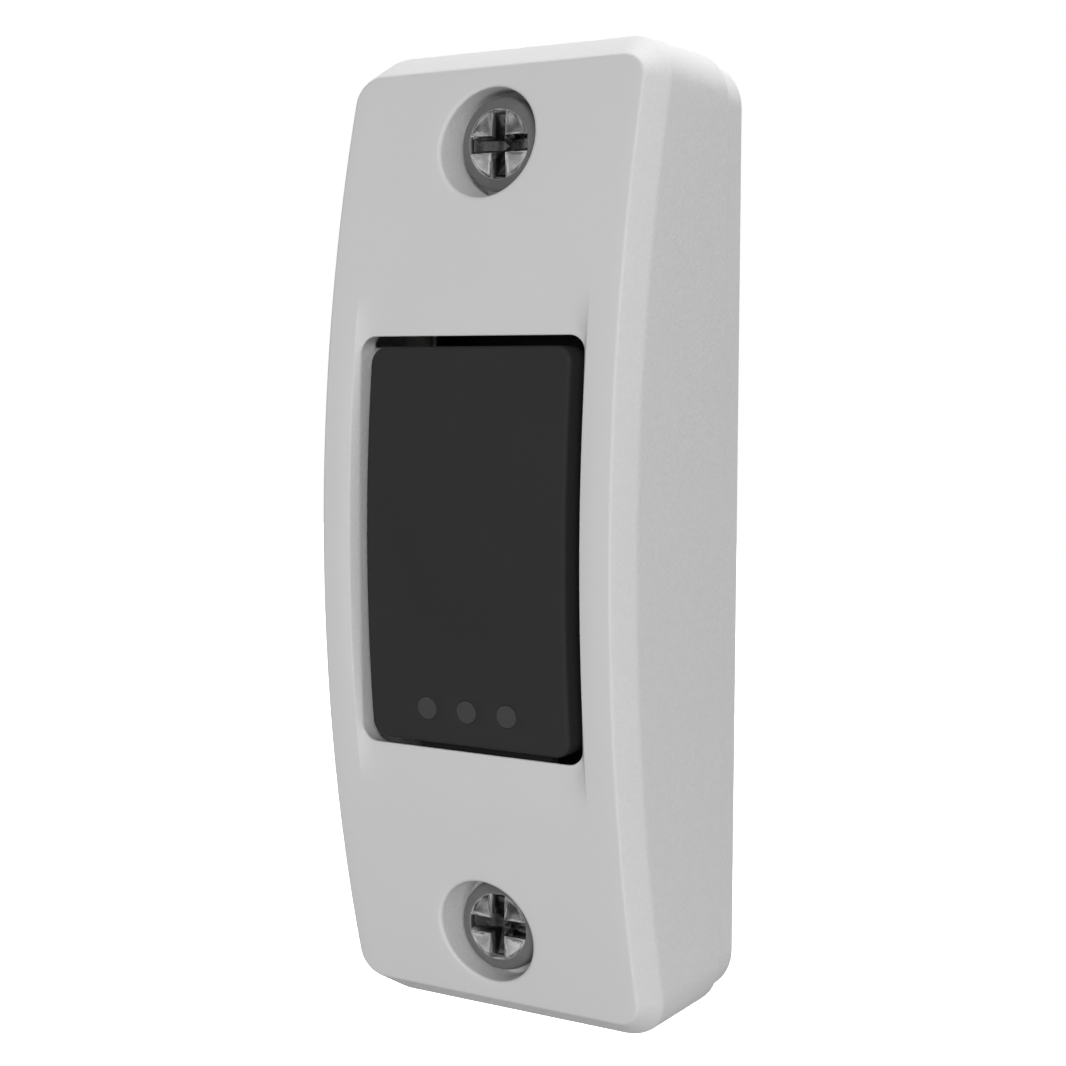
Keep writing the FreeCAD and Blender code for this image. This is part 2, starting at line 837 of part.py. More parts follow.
def add_wall_screw(screws, z):
    """One screw, turned from its profile, with its cross recess cut into the head."""
    top = seat_depth + S.head_height
    end = S.screw_length - seat_depth
    profile = [
        (-top, 0.0),
        (-top, S.head_radius - S.head_round),
        (S.head_flat - top, S.head_radius - S.head_shoulder),
        (S.head_round - top, S.head_radius),
        (-seat_depth, S.head_radius),
        (-seat_depth, S.neck_radius),
        (S.thread_start - S.thread_crest, S.neck_radius),
    ]
    turns = int(float(end - S.thread_start - S.screw_tip) / float(S.thread_pitch))
    for turn in range(turns):
        crest = S.thread_start + S.thread_pitch * turn
        profile.append((crest, S.thread_radius))
        profile.append((crest + S.thread_crest, S.thread_radius))
        profile.append((crest + (S.thread_pitch + S.thread_crest) / 2, S.thread_root))
    profile.append((end, 0.0))
    screws.revolve(screws.at_side(z=z).polygon(profile), "H_Axis")

    long, short = S.recess_span / 2, S.recess_width / 2
    cross = screws.at_depth(top, z)
    cross.polygon([(long, -short), (long, short), (short, short), (short, long),
                   (-short, long), (-short, short), (-long, short), (-long, -short),
                   (-short, -short), (-short, -long), (short, -long), (short, -short)])
    screws.pocket(cross, S.recess_depth, inwards=True, taper=-S.recess_taper)


def make_circuit_board():
    """The board, with a hole for each screw, leg, lead and tab."""
    board = Piece("circuit_board")
    half_x = S.board_width / 2
    half_z = S.board_height / 2
    board.pad(board.at_depth(S.board_back).centred(half_x * 2, half_z * 2), S.board_thickness)
    board.fillet(S.board_corner, corner_edges(half_x, half_z))
    holes = board.at_depth(S.board_back - OVERRUN)
    for x, z in post_places():
        holes.circle(x, z, S.board_hole)
    for x, z in terminal_places():
        holes.circle(x, z, S.terminal_shank + S.terminal_clearance)
        low, high = tab_heights()
        holes.rectangle(x - S.tab_width / 2 - S.tab_clearance, x + S.tab_width / 2 + S.tab_clearance,
                        low - S.tab_clearance, high + S.tab_clearance)
    for x, z in switch_leg_places():
        holes.circle(x, z, S.leg_width / 2 + S.leg_clearance)
    for x, z in lead_places():
        holes.circle(x, z, S.lead_hole)
    board.pocket(holes, S.board_thickness + 2.0 * OVERRUN)
    return board


def tab_heights():
    """The low and high edge of the solder tab at each terminal plate's lower end."""
    low = S.terminal_at - S.plate_length / 2
    return low, low + S.plate_sheet


def switch_leg_places():
    """Centres of the four switch legs, flat against the switch's sides."""
    across = (S.switch_side + S.leg_sheet) / 2
    return [(across * east, S.switch_at + S.leg_along / 2 * up)
            for east in (EAST, WEST) for up in (EAST, WEST)]


def lead_places():
    """Centres of the holes for the diodes', resistor's and capacitor's leads."""
    places = []
    for side in (EAST, WEST):
        places.append((S.led_pitch / 2 * side, S.dot_height))
        places.append((S.component_across, S.component_at + S.resistor_pitch / 2 * side))
        places.append((-S.component_across, S.component_at + S.diode_pitch / 2 * side))
        places.append((S.capacitor_pitch / 2 * side, S.capacitor_at))
    return places


def make_board_screws():
    """Four small screws that hold the board to its posts."""
    screws = Piece("board_screws")
    shanks = screws.at_depth(board_front - S.board_screw_length)
    heads = screws.at_depth(board_front)
    for x, z in post_places():
        shanks.circle(x, z, S.board_screw_radius)
        heads.circle(x, z, S.board_head_radius)
    screws.pad(shanks, S.board_screw_length)
    screws.pad(heads, S.board_head_height)
    slots = screws.at_depth(board_front + S.board_head_height - S.board_slot_depth)
    half_length = S.board_slot_length / 2
    half_slot = S.board_slot_width / 2
    for x, z in post_places():
        slots.rectangle(x - half_length, x + half_length, z - half_slot, z + half_slot)
    screws.pocket(slots, S.board_head_height)
    return screws


def make_switch_base():
    """The switch's moulded base, with a round well for the plunger and its dome."""
    base = Piece("switch_base")
    body = base.at_depth(board_front)
    body.rectangle(-S.switch_side / 2, S.switch_side / 2,
                   S.switch_at - S.switch_side / 2, S.switch_at + S.switch_side / 2)
    base.pad(body, S.switch_height - S.frame_sheet)
    rivets = base.at_depth(board_front)
    for x, z in rivet_places():
        rivets.circle(x, z, S.rivet_radius)
    base.pad(rivets, S.switch_height + S.rivet_stand)
    well = base.at_depth(dome_seat)
    well.circle(0.0, S.switch_at, S.plunger_radius + S.collar_stand + S.well_clearance)
    base.pocket(well, S.switch_height)
    return base


def rivet_places():
    """Centres of the four moulded rivets that hold the frame."""
    away = S.switch_side / 2 - S.rivet_inset
    return [(away * east, S.switch_at + away * up)
            for east in (EAST, WEST) for up in (EAST, WEST)]


def make_switch_frame():
    """The stamped sheet over the switch, with holes for the plunger and the rivets."""
    frame = Piece("switch_frame")
    body = frame.at_depth(switch_top - S.frame_sheet)
    body.rectangle(-S.switch_side / 2, S.switch_side / 2,
                   S.switch_at - S.switch_side / 2, S.switch_at + S.switch_side / 2)
    frame.pad(body, S.frame_sheet)
    holes = frame.at_depth(switch_top - S.switch_height)
    holes.circle(0.0, S.switch_at, S.plunger_radius + S.plunger_clearance)
    for x, z in rivet_places():
        holes.circle(x, z, S.rivet_radius)
    frame.pocket(holes, S.switch_height + OVERRUN)
    return frame


def make_switch_plunger():
    """The round plunger, held under the frame by its collar."""
    plunger = Piece("switch_plunger")
    collar = plunger.at_depth(collar_back)
    collar.circle(0.0, S.switch_at, S.plunger_radius + S.collar_stand)
    plunger.pad(collar, S.collar_thickness)
    shaft = plunger.at_depth(collar_back).circle(0.0, S.switch_at, S.plunger_radius)
    plunger.pad(shaft, plunger_tip - collar_back)
    return plunger


def make_switch_dome():
    """The sprung snap dome between the plunger and the base."""
    dome = Piece("switch_dome")
    radius = S.plunger_radius + S.collar_stand
    outer = []
    inner = []
    for step in range(DOME_STEPS + 1):
        share = step / DOME_STEPS
        away = radius * share
        fall = dome_rise * (share * share)
        outer.append((fall - dome_top, away))
        inner.append((fall - dome_top + S.dome_sheet, away))
    dome.revolve(dome.at_side(z=S.switch_at).polygon(outer + inner[::-1]), "H_Axis")
    return dome


def make_switch_legs():
    """Four flat legs from the switch's sides through the board."""
    legs = Piece("switch_legs")
    outline = legs.at_depth(lead_end)
    for x, z in switch_leg_places():
        outline.rectangle(x - S.leg_sheet / 2, x + S.leg_sheet / 2,
                          z - S.leg_width / 2, z + S.leg_width / 2)
    legs.pad(outline, board_front + S.leg_climb - lead_end)
    return legs


def make_led():
    """The light-emitting diode's moulded lens and its two legs."""
    lens = Piece("led_lens")
    tip = board_front + S.led_length
    cheek = S.led_radius / root(Size.of(2.0))
    profile = [
        (-board_front, 0.0),
        (-board_front, S.led_flange),
        (-board_front - S.led_flange_thickness, S.led_flange),
        (-board_front - S.led_flange_thickness, S.led_radius),
        (S.led_radius - tip, S.led_radius),
        (S.led_radius - cheek - tip, cheek),
        (-tip, S.led_tip),
        (-tip, 0.0),
    ]
    lens.revolve(lens.at_side(z=S.dot_height).polygon(profile), "H_Axis")
    legs = Piece("led_legs")
    outline = legs.at_depth(lead_end)
    for side in (EAST, WEST):
        outline.circle(S.led_pitch / 2 * side, S.dot_height, S.lead_radius)
    legs.pad(outline, board_front - lead_end)
    return lens, legs


def make_axial(name, x, length, radius, end_radius, end_length, pitch):
    """A lying resistor or diode: a turned body and two wires bent down through the board."""
    axis_depth = board_front + S.component_lift + end_radius
    body = Piece(name + "_body")
    top = S.component_at + length / 2
    low = S.component_at - length / 2
    profile = body.at_side(x, y=-axis_depth)
    profile.polygon([
        (0.0, low), (-end_radius, low), (-end_radius, low + end_length),
        (-radius, low + end_length), (-radius, top - end_length),
        (-end_radius, top - end_length), (-end_radius, top), (0.0, top)])
    body.revolve(profile, "V_Axis")
    leads = Piece(name + "_leads")
    for side in (EAST, WEST):
        start = top if side > 0 else low
        hole = S.component_at + pitch / 2 * side
        route = leads.at_side(x)
        route.path([(-axis_depth, start), (-axis_depth, hole), (-lead_end, hole)])
        section = leads.at_level(start).circle(x, -axis_depth, S.lead_radius)
        leads.pipe(section, route)
    return body, leads


def make_capacitor():
    """A standing ceramic disc and its two legs."""
    body = Piece("capacitor_body")
    middle = board_front + S.capacitor_lift + S.capacitor_radius
    disc = body.at_level(S.capacitor_at).circle(0.0, -middle, S.capacitor_radius)
    body.pad(disc, S.capacitor_thickness, both=True)
    legs = Piece("capacitor_leads")
    outline = legs.at_depth(lead_end)
    for side in (EAST, WEST):
        outline.circle(S.capacitor_pitch / 2 * side, S.capacitor_at, S.lead_radius)
    half_pitch = S.capacitor_pitch / 2
    nearest = half_pitch - S.lead_radius
    rise = root(S.capacitor_radius * S.capacitor_radius - nearest * nearest)
    legs.pad(outline, middle - rise - lead_end)
    return body, legs


def make_terminals():
    """The brass plates, screws, washers and nuts that clamp the door opener's wires."""
    plates = Piece("terminal_plates")
    screws = Piece("terminal_screws")
    washers = Piece("terminal_washers")
    nuts = Piece("terminal_nuts")
    washer_back = S.board_back - S.plate_sheet - S.washer_sheet
    head_back = washer_back - S.terminal_head_height
    nut_front = board_front + S.nut_height
    hole = S.terminal_shank + S.terminal_clearance
    low, high = tab_heights()

    sheets = plates.at_depth(S.board_back - S.plate_sheet)
    tabs = plates.at_depth(S.board_back - S.plate_sheet)
    plate_holes = plates.at_depth(0.0)
    shanks = screws.at_depth(washer_back)
    heads = screws.at_depth(head_back)
    slots = screws.at_depth(head_back - OVERRUN)
    squares = washers.at_depth(washer_back)
    washer_holes = washers.at_depth(0.0)
    blocks = nuts.at_depth(board_front)
    nut_holes = nuts.at_depth(0.0)
    for x, z in terminal_places():
        half_plate = S.plate_width / 2
        sheets.rectangle(x - half_plate, x + half_plate, low, low + S.plate_length)
        tabs.rectangle(x - S.tab_width / 2, x + S.tab_width / 2, low, high)
        half_washer = S.washer_side / 2
        squares.rectangle(x - half_washer, x + half_washer, z - half_washer, z + half_washer)
        half_nut = S.nut_side / 2
        blocks.rectangle(x - half_nut, x + half_nut, z - half_nut, z + half_nut)
        half_slot = S.slot_width / 2
        reach = S.terminal_head + OVERRUN
        slots.rectangle(x - reach, x + reach, z - half_slot, z + half_slot)
        shanks.circle(x, z, S.terminal_shank)
        heads.circle(x, z, S.terminal_head)
        for holes in (plate_holes, washer_holes, nut_holes):
            holes.circle(x, z, hole)
    plates.pad(sheets, S.plate_sheet)
    plates.pad(tabs, S.plate_sheet + S.board_thickness + S.tab_reach)
    plates.pocket(plate_holes, S.cover_depth)
    screws.pad(heads, S.terminal_head_height)
    screws.pad(shanks, nut_front + S.terminal_overrun - washer_back)
    screws.pocket(slots, S.slot_depth + OVERRUN)
    washers.pad(squares, S.washer_sheet)
    washers.pocket(washer_holes, S.cover_depth)
    nuts.pad(blocks, S.nut_height)
    nuts.pocket(nut_holes, S.cover_depth)
    return plates, screws, washers, nuts


def make_all():
    """Every node of the button, in the order that it would be put together."""
    pieces = [make_front_cover(), make_base_plate(), make_wall_screws()]
    pieces += [make_button_cap(), make_light_guide()]
    pieces += [make_circuit_board(), make_board_screws()]
    pieces += [make_switch_base(), make_switch_frame(), make_switch_plunger()]
    pieces += [make_switch_dome(), make_switch_legs()]
    pieces += make_led()
    pieces += make_axial("resistor", S.component_across, S.resistor_length, S.resistor_radius,
                         S.resistor_end, S.resistor_cap, S.resistor_pitch)
    pieces += make_axial("diode", -S.component_across, S.diode_length, S.diode_band_radius,
                         S.diode_radius, S.diode_cap, S.diode_pitch)
    pieces += make_capacitor()
    pieces += make_terminals()
    return [piece.body for piece in pieces]


def check(nodes):
    """Stops if any object failed or any node has no sound solid."""
    for item in doc.Objects:
        if "Invalid" in item.State or "Error" in item.State:
            raise RuntimeError("%s is in a failed state" % item.Label)
    for node in nodes:
        if node.Shape.isNull() or not node.Shape.isValid() or not node.Shape.Solids:
            raise RuntimeError("%s has no sound solid" % node.Label)


def write(nodes):
    """One file for each node."""
    os.makedirs("parts", exist_ok=True)
    for node in nodes:
        node.Shape.exportStep(os.path.join("parts", node.Label + ".step"))
        box = node.Shape.BoundBox
        print("%-18s solids %d  volume %9.2f  x %7.2f %7.2f  y %7.2f %7.2f  z %7.2f %7.2f" % (
            node.Label, len(node.Shape.Solids), node.Shape.Volume,
            box.XMin, box.XMax, box.YMin, box.YMax, box.ZMin, box.ZMax))


nodes = make_all()
doc.recompute()
check(nodes)
write(nodes)
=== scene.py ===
# %% [markdown]
# # Dressing a garage door wall button
# The real thing is a small arched box of pale plastic, screwed to the wall beside a garage door.
# A dark push paddle fills the middle of its face, three smoked dots at the paddle's foot let a
# light shine through, and a pan head screw sits in a round well above and below.
# The measured parts already exist, so this lesson never moves them. It loads them as a fixed
# frame, builds the pieces that show as finer meshes, gives every piece a finish and lights the
# whole on a pale floor. Lengths are millimetres; `MM` turns them into Blender's metres.

# %% Load the measured parts
import json
import math

import bmesh
import bpy
from mathutils import Matrix, Vector
from mathutils.geometry import delaunay_2d_cdt


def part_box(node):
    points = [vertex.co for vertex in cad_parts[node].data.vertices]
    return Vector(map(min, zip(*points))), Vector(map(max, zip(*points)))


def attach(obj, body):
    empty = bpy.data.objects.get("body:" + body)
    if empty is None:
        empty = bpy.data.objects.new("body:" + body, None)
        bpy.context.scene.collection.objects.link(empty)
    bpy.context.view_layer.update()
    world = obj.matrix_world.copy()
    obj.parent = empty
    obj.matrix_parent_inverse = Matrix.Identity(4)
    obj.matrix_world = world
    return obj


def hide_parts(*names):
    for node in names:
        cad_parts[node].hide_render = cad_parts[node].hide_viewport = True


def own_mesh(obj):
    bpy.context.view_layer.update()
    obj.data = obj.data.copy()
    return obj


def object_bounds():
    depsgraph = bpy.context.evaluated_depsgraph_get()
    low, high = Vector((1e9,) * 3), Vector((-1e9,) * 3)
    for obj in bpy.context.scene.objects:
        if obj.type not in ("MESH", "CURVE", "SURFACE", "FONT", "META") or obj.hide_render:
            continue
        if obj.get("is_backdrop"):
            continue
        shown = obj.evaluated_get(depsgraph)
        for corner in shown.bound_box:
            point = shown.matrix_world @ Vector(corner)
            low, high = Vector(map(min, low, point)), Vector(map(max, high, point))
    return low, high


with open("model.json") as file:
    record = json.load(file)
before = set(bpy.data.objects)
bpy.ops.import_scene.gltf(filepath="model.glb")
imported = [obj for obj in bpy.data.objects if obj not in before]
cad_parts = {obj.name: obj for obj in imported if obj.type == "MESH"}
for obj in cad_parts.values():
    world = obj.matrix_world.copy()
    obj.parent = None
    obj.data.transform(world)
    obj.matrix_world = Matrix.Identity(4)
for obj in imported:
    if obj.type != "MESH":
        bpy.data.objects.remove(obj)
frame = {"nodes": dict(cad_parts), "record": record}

MM = 0.001
frame_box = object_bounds()
scene = bpy.context.scene

# %% [markdown]
# ## Sizes that come from the frame
# A piece that is built again has to sit where the measured one does, so its reach is read from
# the frame's boxes instead of being typed a second time. The wall is at zero and the room is on
# the minus Y side. Depth, counted from the wall towards the room, is easier to think in, so each
# piece is built with it and turned to Y at the very end.

# %% Read the reach of each part


def reach(node):
    """The lowest and highest corner of a measured part, in millimetres."""
    low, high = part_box(node)
    return low / MM, high / MM


cover_low, cover_high = reach("front_cover")
half_width, half_height = cover_high.x, cover_high.z
cover_depth, cover_foot = -cover_low.y, -cover_high.y

screws_low, screws_high = reach("wall_screws")
head_radius, head_top = screws_high.x, -screws_low.y
screw_height = screws_high.z - head_radius
screw_end = screws_high.y

boss_top = -reach("base_plate")[0].y
cap_low, cap_high = reach("button_cap")
plunger_tip = -reach("switch_plunger")[0].y
print("cover %.2f x %.2f x %.2f mm" % (half_width * 2, half_height * 2, cover_depth))

# %% [markdown]
# ## The camera
# The picture was taken from close by, a little to the right of the button and slightly above its
# middle. A camera is a place, three angles and a lens. Yaw, tilt and roll come in the order in
# which one would aim it by hand.

# %% Place the camera
CAMERA_PLACE = Vector((78.26, -136.77, 13.04)) * MM
CAMERA_YAW, CAMERA_TILT, CAMERA_ROLL = 31.478, -4.843, 0.137
FRAME_PIXELS, FOCAL_PIXELS, SENSOR = 1066, 1886.93, 36.0


def turned(degrees, axis):
    return Matrix.Rotation(math.radians(degrees), 4, axis)


def add_object(name, data):
    """Puts a mesh, a camera or a light into the scene."""
    made = bpy.data.objects.new(name, data)
    scene.collection.objects.link(made)
    return made


lens = bpy.data.cameras.new("camera")
lens.sensor_width = SENSOR
lens.lens = FOCAL_PIXELS / FRAME_PIXELS * SENSOR
lens.clip_start = MM
camera = add_object("camera", lens)
aim = turned(CAMERA_YAW, "Z") @ turned(90 + CAMERA_TILT, "X") @ turned(CAMERA_ROLL, "Z")
camera.matrix_world = Matrix.Translation(CAMERA_PLACE) @ aim
scene.camera = camera
print("lens %.1f mm" % lens.lens)

# %% [markdown]
# ## Shader sums that read like sums
# A finish is a small graph of nodes. Wiring each Math node by hand hides the idea, so one class
# wraps a node's output and turns `+`, `-`, `*`, `/`, `**`, `<` and `abs` into Math nodes. Python
# asks the right hand side too, so `+`, `-` and `*` have reflected twins and `1 - mask` works.
# Every other node comes from a single method, `Finish.add`: its type, its settings, its sockets.

# %% A number at each point of a surface


class Reading:
    """One output of a node, with the arithmetic that the finishes use."""

    def __init__(self, finish, socket):
        self.finish = finish
        self.socket = socket

    def _sum(self, operation, *values):
        return self.finish.add("ShaderNodeMath", {"operation": operation},
                               dict(enumerate(values)))

    def __getitem__(self, name):
        return Reading(self.finish, self.socket.node.outputs[name])

    def __add__(self, other):
        return self._sum("ADD", self, other)

    def __sub__(self, other):
        return self._sum("SUBTRACT", self, other)

    def __rsub__(self, other):
        return self._sum("SUBTRACT", other, self)

    def __mul__(self, other):
        return self._sum("MULTIPLY", self, other)

    def __truediv__(self, other):
        return self._sum("DIVIDE", self, other)

    def __lt__(self, other):
        return self._sum("LESS_THAN", self, other)

    def __abs__(self):
        return self._sum("ABSOLUTE", self)

    def __pow__(self, other):
        return self._sum("POWER", self, other)

    __radd__ = __add__
    __rmul__ = __mul__


# %% A material and the one method that adds its nodes


class Finish:
    """The node tree of a new material or of the sky, and the pieces that finishes share.

    `where` is a place on the button in millimetres, or the direction of view in the sky.
    """

    def __init__(self, name, world=None):
        self.owner = world or bpy.data.materials.new(name)
        self.owner.use_nodes = True
        self.tree = self.owner.node_tree
        self.tree.nodes.clear()
        self.where = self.add("ShaderNodeTexCoord", output="Generated" if world else "Object")
        if world is None:
            self.where = self.add("ShaderNodeVectorMath", {"operation": "SCALE"},
                                  {"Vector": self.where, "Scale": 1 / MM})

    def add(self, kind, settings=None, sockets=None, output=None):
        """A node: its type, its settings, then values or links for its sockets."""
        node = self.tree.nodes.new(kind)
        for name, value in (settings or {}).items():
            if name == "stops":
                self._set_stops(node.color_ramp, value)
            elif name == "between":
                node.color_ramp.interpolation = value
            else:
                setattr(node, name, value)
        usable = [socket for socket in node.inputs if socket.enabled]
        for name, value in (sockets or {}).items():
            named = [socket for socket in usable if socket.name == name]
            socket = usable[name] if isinstance(name, int) else named[0]
            if isinstance(value, Reading):
                self.tree.links.new(value.socket, socket)
            else:
                socket.default_value = value
        results = [socket for socket in node.outputs if socket.enabled]
        chosen = node.outputs[output] if output else (results[0] if results else None)
        return Reading(self, chosen)

    def _set_stops(self, ramp, stops):
        while len(ramp.elements) < len(stops):
            ramp.elements.new(0.5)
        for element, (place, colour) in zip(ramp.elements, stops):
            element.position = place
            element.color = colour

    def axes(self, vector):
        """A vector taken apart: its X, with Y and Z by name."""
        return self.add("ShaderNodeSeparateXYZ", None, {0: vector})

    def noise(self, size, detail=2.0, roughness=0.5, where=None):
        """Soft random patches about that size across, from 0 to 1."""
        return self.add("ShaderNodeTexNoise", None, {
            "Vector": where or self.where, "Scale": 1 / size, "Detail": detail,
            "Roughness": roughness})

    def ease(self, value, start, end):
        """0 below start, 1 above end, and a smooth rise between."""
        return self.add("ShaderNodeMapRange", {"interpolation_type": "SMOOTHSTEP"},
                        {"Value": value, "From Min": start, "From Max": end})

    def blend(self, share, first, second, kind="RGBA"):
        """A colour between two colours, or a number between two numbers."""
        return self.add("ShaderNodeMix", {"data_type": kind},
                        {"Factor": share, "A": first, "B": second})

    def bump(self, height, depth):
        """A relief that many millimetres deep."""
        return self.add("ShaderNodeBump", None, {"Distance": depth * MM, "Height": height})

    def surface(self, sockets):
        """Closes the graph with the shader and the output."""
        shader = self.add("ShaderNodeBsdfPrincipled", None, sockets)
        self.add("ShaderNodeOutputMaterial", None, {"Surface": shader})
        return self.owner


def grey(level, warmth=0.0):
    """A near-neutral colour. A little warmth lifts red and lowers blue."""
    return (level * (1 + warmth), level, level * (1 - warmth), 1.0)


# %% [markdown]
# ## The pale moulded plastic
# The cover is a thick moulding in a pale neutral grey. Close up it isn't even: the mould leaves a
# fine grain, and the colour wanders a little where the melt flowed. Both are noises at their real
# size. The grain goes to a shallow bump and both go to the colour and the roughness, so
# highlights break up. The face is smoother than the walls, so the grain fades where the surface
# looks straight out into the room.

# %% Cover and back plate plastics
FLOW_SIZE, PITS_TO_GRAIN, FINE_SHARE = 9.0, 3, 0.7
FACE_POLISH, GRAIN_SHADE = 0.9, 6.0
GRAIN_GLOSS, FLOW_GLOSS = 0.12, 0.06


def moulded(name, level, grain, relief, gloss, wander=0.02, specular=0.5):
    """An opaque moulding: its brightness, the grain's width and depth, and its roughness."""
    finish = Finish(name)
    flow = finish.noise(FLOW_SIZE, detail=3.0)
    fine = finish.noise(grain, detail=3.0, roughness=0.6)
    pits = finish.noise(grain * PITS_TO_GRAIN)
    looks = finish.add("ShaderNodeNewGeometry", output="Normal")
    rough_side = 1 - abs(finish.axes(looks)["Y"]) * FACE_POLISH
    shade = flow + (fine - 0.5) * rough_side * GRAIN_SHADE
    grained = fine * FINE_SHARE + pits * (1 - FINE_SHARE)
    return finish.surface({
        "Base Color": finish.blend(shade, grey(level * (1 - wander)), grey(level * (1 + wander))),
        "Roughness": gloss + (fine - 0.5) * GRAIN_GLOSS + (flow - 0.5) * FLOW_GLOSS,
        "Specular IOR Level": specular,
        "Normal": finish.bump(grained * rough_side, relief),
    })


cover_plastic = moulded("cover_plastic", level=0.76, grain=0.28, relief=0.07, gloss=0.46)
base_plastic = moulded("base_plastic", level=0.74, grain=0.28, relief=0.05, gloss=0.52)
print("pale plastics:", cover_plastic.name, base_plastic.name)

# %% [markdown]
# ## The black paddle and its smoked dots
# The paddle is the same kind of moulding in black, with a finer grain. A dark plastic owes most
# of what is seen to its shine, so the shine is turned down on the shader's own socket instead of
# darkening the colour further. The dots are the ends of one smoke-grey light guide: smooth, and
# only a shade lighter than the paddle.

# %% Paddle and light guide plastics
SMOKE_SIZE, SMOKE_GLOSS = 0.9, 0.34

button_plastic = moulded("button_plastic", level=0.037, grain=0.12, relief=0.006, gloss=0.5,
                         wander=0.08, specular=0.15)


def smoked_guide():
    finish = Finish("guide_plastic")
    cloud = finish.noise(SMOKE_SIZE, detail=3.0)
    return finish.surface({
        "Base Color": finish.blend(cloud, grey(0.057), grey(0.07)),
        "Roughness": SMOKE_GLOSS + cloud * 0.1,
        "Specular IOR Level": 0.35,
        "Normal": finish.bump(cloud, 0.003),
    })


guide_plastic = smoked_guide()
print("dark plastics:", button_plastic.name, guide_plastic.name)

# %% [markdown]
# ## The plated wall screws
# A plated pan head is polished where it is flat. Its sloping rim is rough, less metallic and
# painted a dull dark grey: painted shade in place of the dark that the slope mirrors. One radius,
# measured from the screw's own axis, tells the two apart. The cross gets painted shade that
# deepens with depth, as shade falls into a punched hole.
# Both screws stand on the same upright line, so folding the height with an absolute value lets
# one finish serve the two.

# %% Screw plating
# The rim grey and the recess grey below are painted shade, not the plating's own colour.
FACE_SHADE, PAINTED_RIM_SHADE, PAINTED_RECESS_SHADE, SMEAR_SHADE = 0.86, 0.17, 0.22, 0.3
RIM_STARTS, RIM_FULL, RIM_DULLNESS = 2.58, 2.68, 0.85
SHADE_STARTS, SHADE_FULL = 0.2, 0.7
FACE_GLOSS, RIM_GLOSS = 0.06, 0.28
BUFFED_SIZE, SMEAR_SIZE, SMEAR_STARTS = 0.35, 1.6, 0.35


def plated_screws():
    finish = Finish("screw_chrome")
    axes = finish.axes(finish.where)
    up = abs(axes["Z"]) - screw_height
    away = (axes["X"] ** 2 + up ** 2) ** 0.5
    # Painted shade: the sloping rim is painted a dull dark grey for the dark that it mirrors.
    rim = finish.ease(away, RIM_STARTS, RIM_FULL)
    # Painted shade: the cross is darkened with depth, where shade falls in the recess.
    painted_recess_mask = finish.ease(axes["Y"] + head_top, SHADE_STARTS, SHADE_FULL) * (1 - rim)
    buffed = finish.noise(BUFFED_SIZE, detail=3.0)
    smear = finish.noise(SMEAR_SIZE)
    tone_with_painted_shade = finish.blend(rim, grey(FACE_SHADE), grey(PAINTED_RIM_SHADE))
    tone_with_painted_shade = finish.blend(painted_recess_mask, tone_with_painted_shade, grey(PAINTED_RECESS_SHADE))
    return finish.surface({
        "Base Color": finish.blend((smear - SMEAR_STARTS) * 0.5, tone_with_painted_shade, grey(SMEAR_SHADE)),
        "Metallic": 1 - rim * RIM_DULLNESS,
        "Roughness": FACE_GLOSS + rim * RIM_GLOSS + buffed * FACE_GLOSS,
        "Normal": finish.bump(buffed * 0.5 + smear, 0.004),
    })


screw_chrome = plated_screws()
print("plating:", screw_chrome.name)

# %% [markdown]
# ## Metals and small parts inside
# Inside are stamped brass terminals, zinc-plated screws, tinned leads and a snap dome. Each metal
# lies between two colours, with a fine scratch pattern: noise stretched along one direction,
# because sheet is rolled and wire is drawn. Stretching the coordinates before the noise does
# that. A second, larger noise stains the metal in places.

# %% Metals
SCRATCH_WIDTH, STAIN_SIZE, STAIN_STARTS, STAIN_FULL = 0.12, 1.4, 0.35, 0.75
SCRATCH_SHARE, SCRATCH_GLOSS, STAIN_GLOSS = 0.4, 0.16, 0.1


def worked_metal(name, dull, bright, gloss, stretch, tarnish=0.3):
    """A metal between two colours, with scratches drawn out along one axis."""
    finish = Finish(name)
    drawn = finish.add("ShaderNodeVectorMath", {"operation": "MULTIPLY"},
                       {0: finish.where, 1: stretch})
    scratch = finish.noise(SCRATCH_WIDTH, detail=4.0, roughness=0.65, where=drawn)
    stained = finish.ease(finish.noise(STAIN_SIZE, detail=3.0), STAIN_STARTS, STAIN_FULL)
    return finish.surface({
        "Base Color": finish.blend(stained * tarnish + scratch * SCRATCH_SHARE, bright, dull),
        "Metallic": 1.0,
        "Roughness": gloss + scratch * SCRATCH_GLOSS + stained * STAIN_GLOSS,
        "Normal": finish.bump(scratch, 0.004),
    })


zinc_steel = worked_metal("zinc_steel", grey(0.42, 0.02), grey(0.66, 0.01),
                          gloss=0.26, stretch=(1, 1, 0.2))
switch_steel = worked_metal("switch_steel", grey(0.5), grey(0.74),
                            gloss=0.22, stretch=(0.15, 1, 1))
tinned_wire = worked_metal("tinned_wire", grey(0.5, 0.01), grey(0.72, 0.01),
                           gloss=0.28, stretch=(1, 0.1, 1))
terminal_brass = worked_metal("terminal_brass", (0.42, 0.27, 0.09, 1.0), (0.72, 0.5, 0.2, 1.0),
                              gloss=0.24, stretch=(1, 1, 0.12), tarnish=0.5)
print("metals:", zinc_steel.name, switch_steel.name, tinned_wire.name, terminal_brass.name)

# %% [markdown]
# ## The circuit board
# A board is woven glass in resin under a dark green lacquer, with copper tracks that show as
# paler green lines and tinned pads where a lead comes through. The weave is two crossed waves in
# the bump. A track is every point nearer to a line than half the track's width, so
# `abs(x - line)` and a comparison draw it, and a pad is the same with a radius.

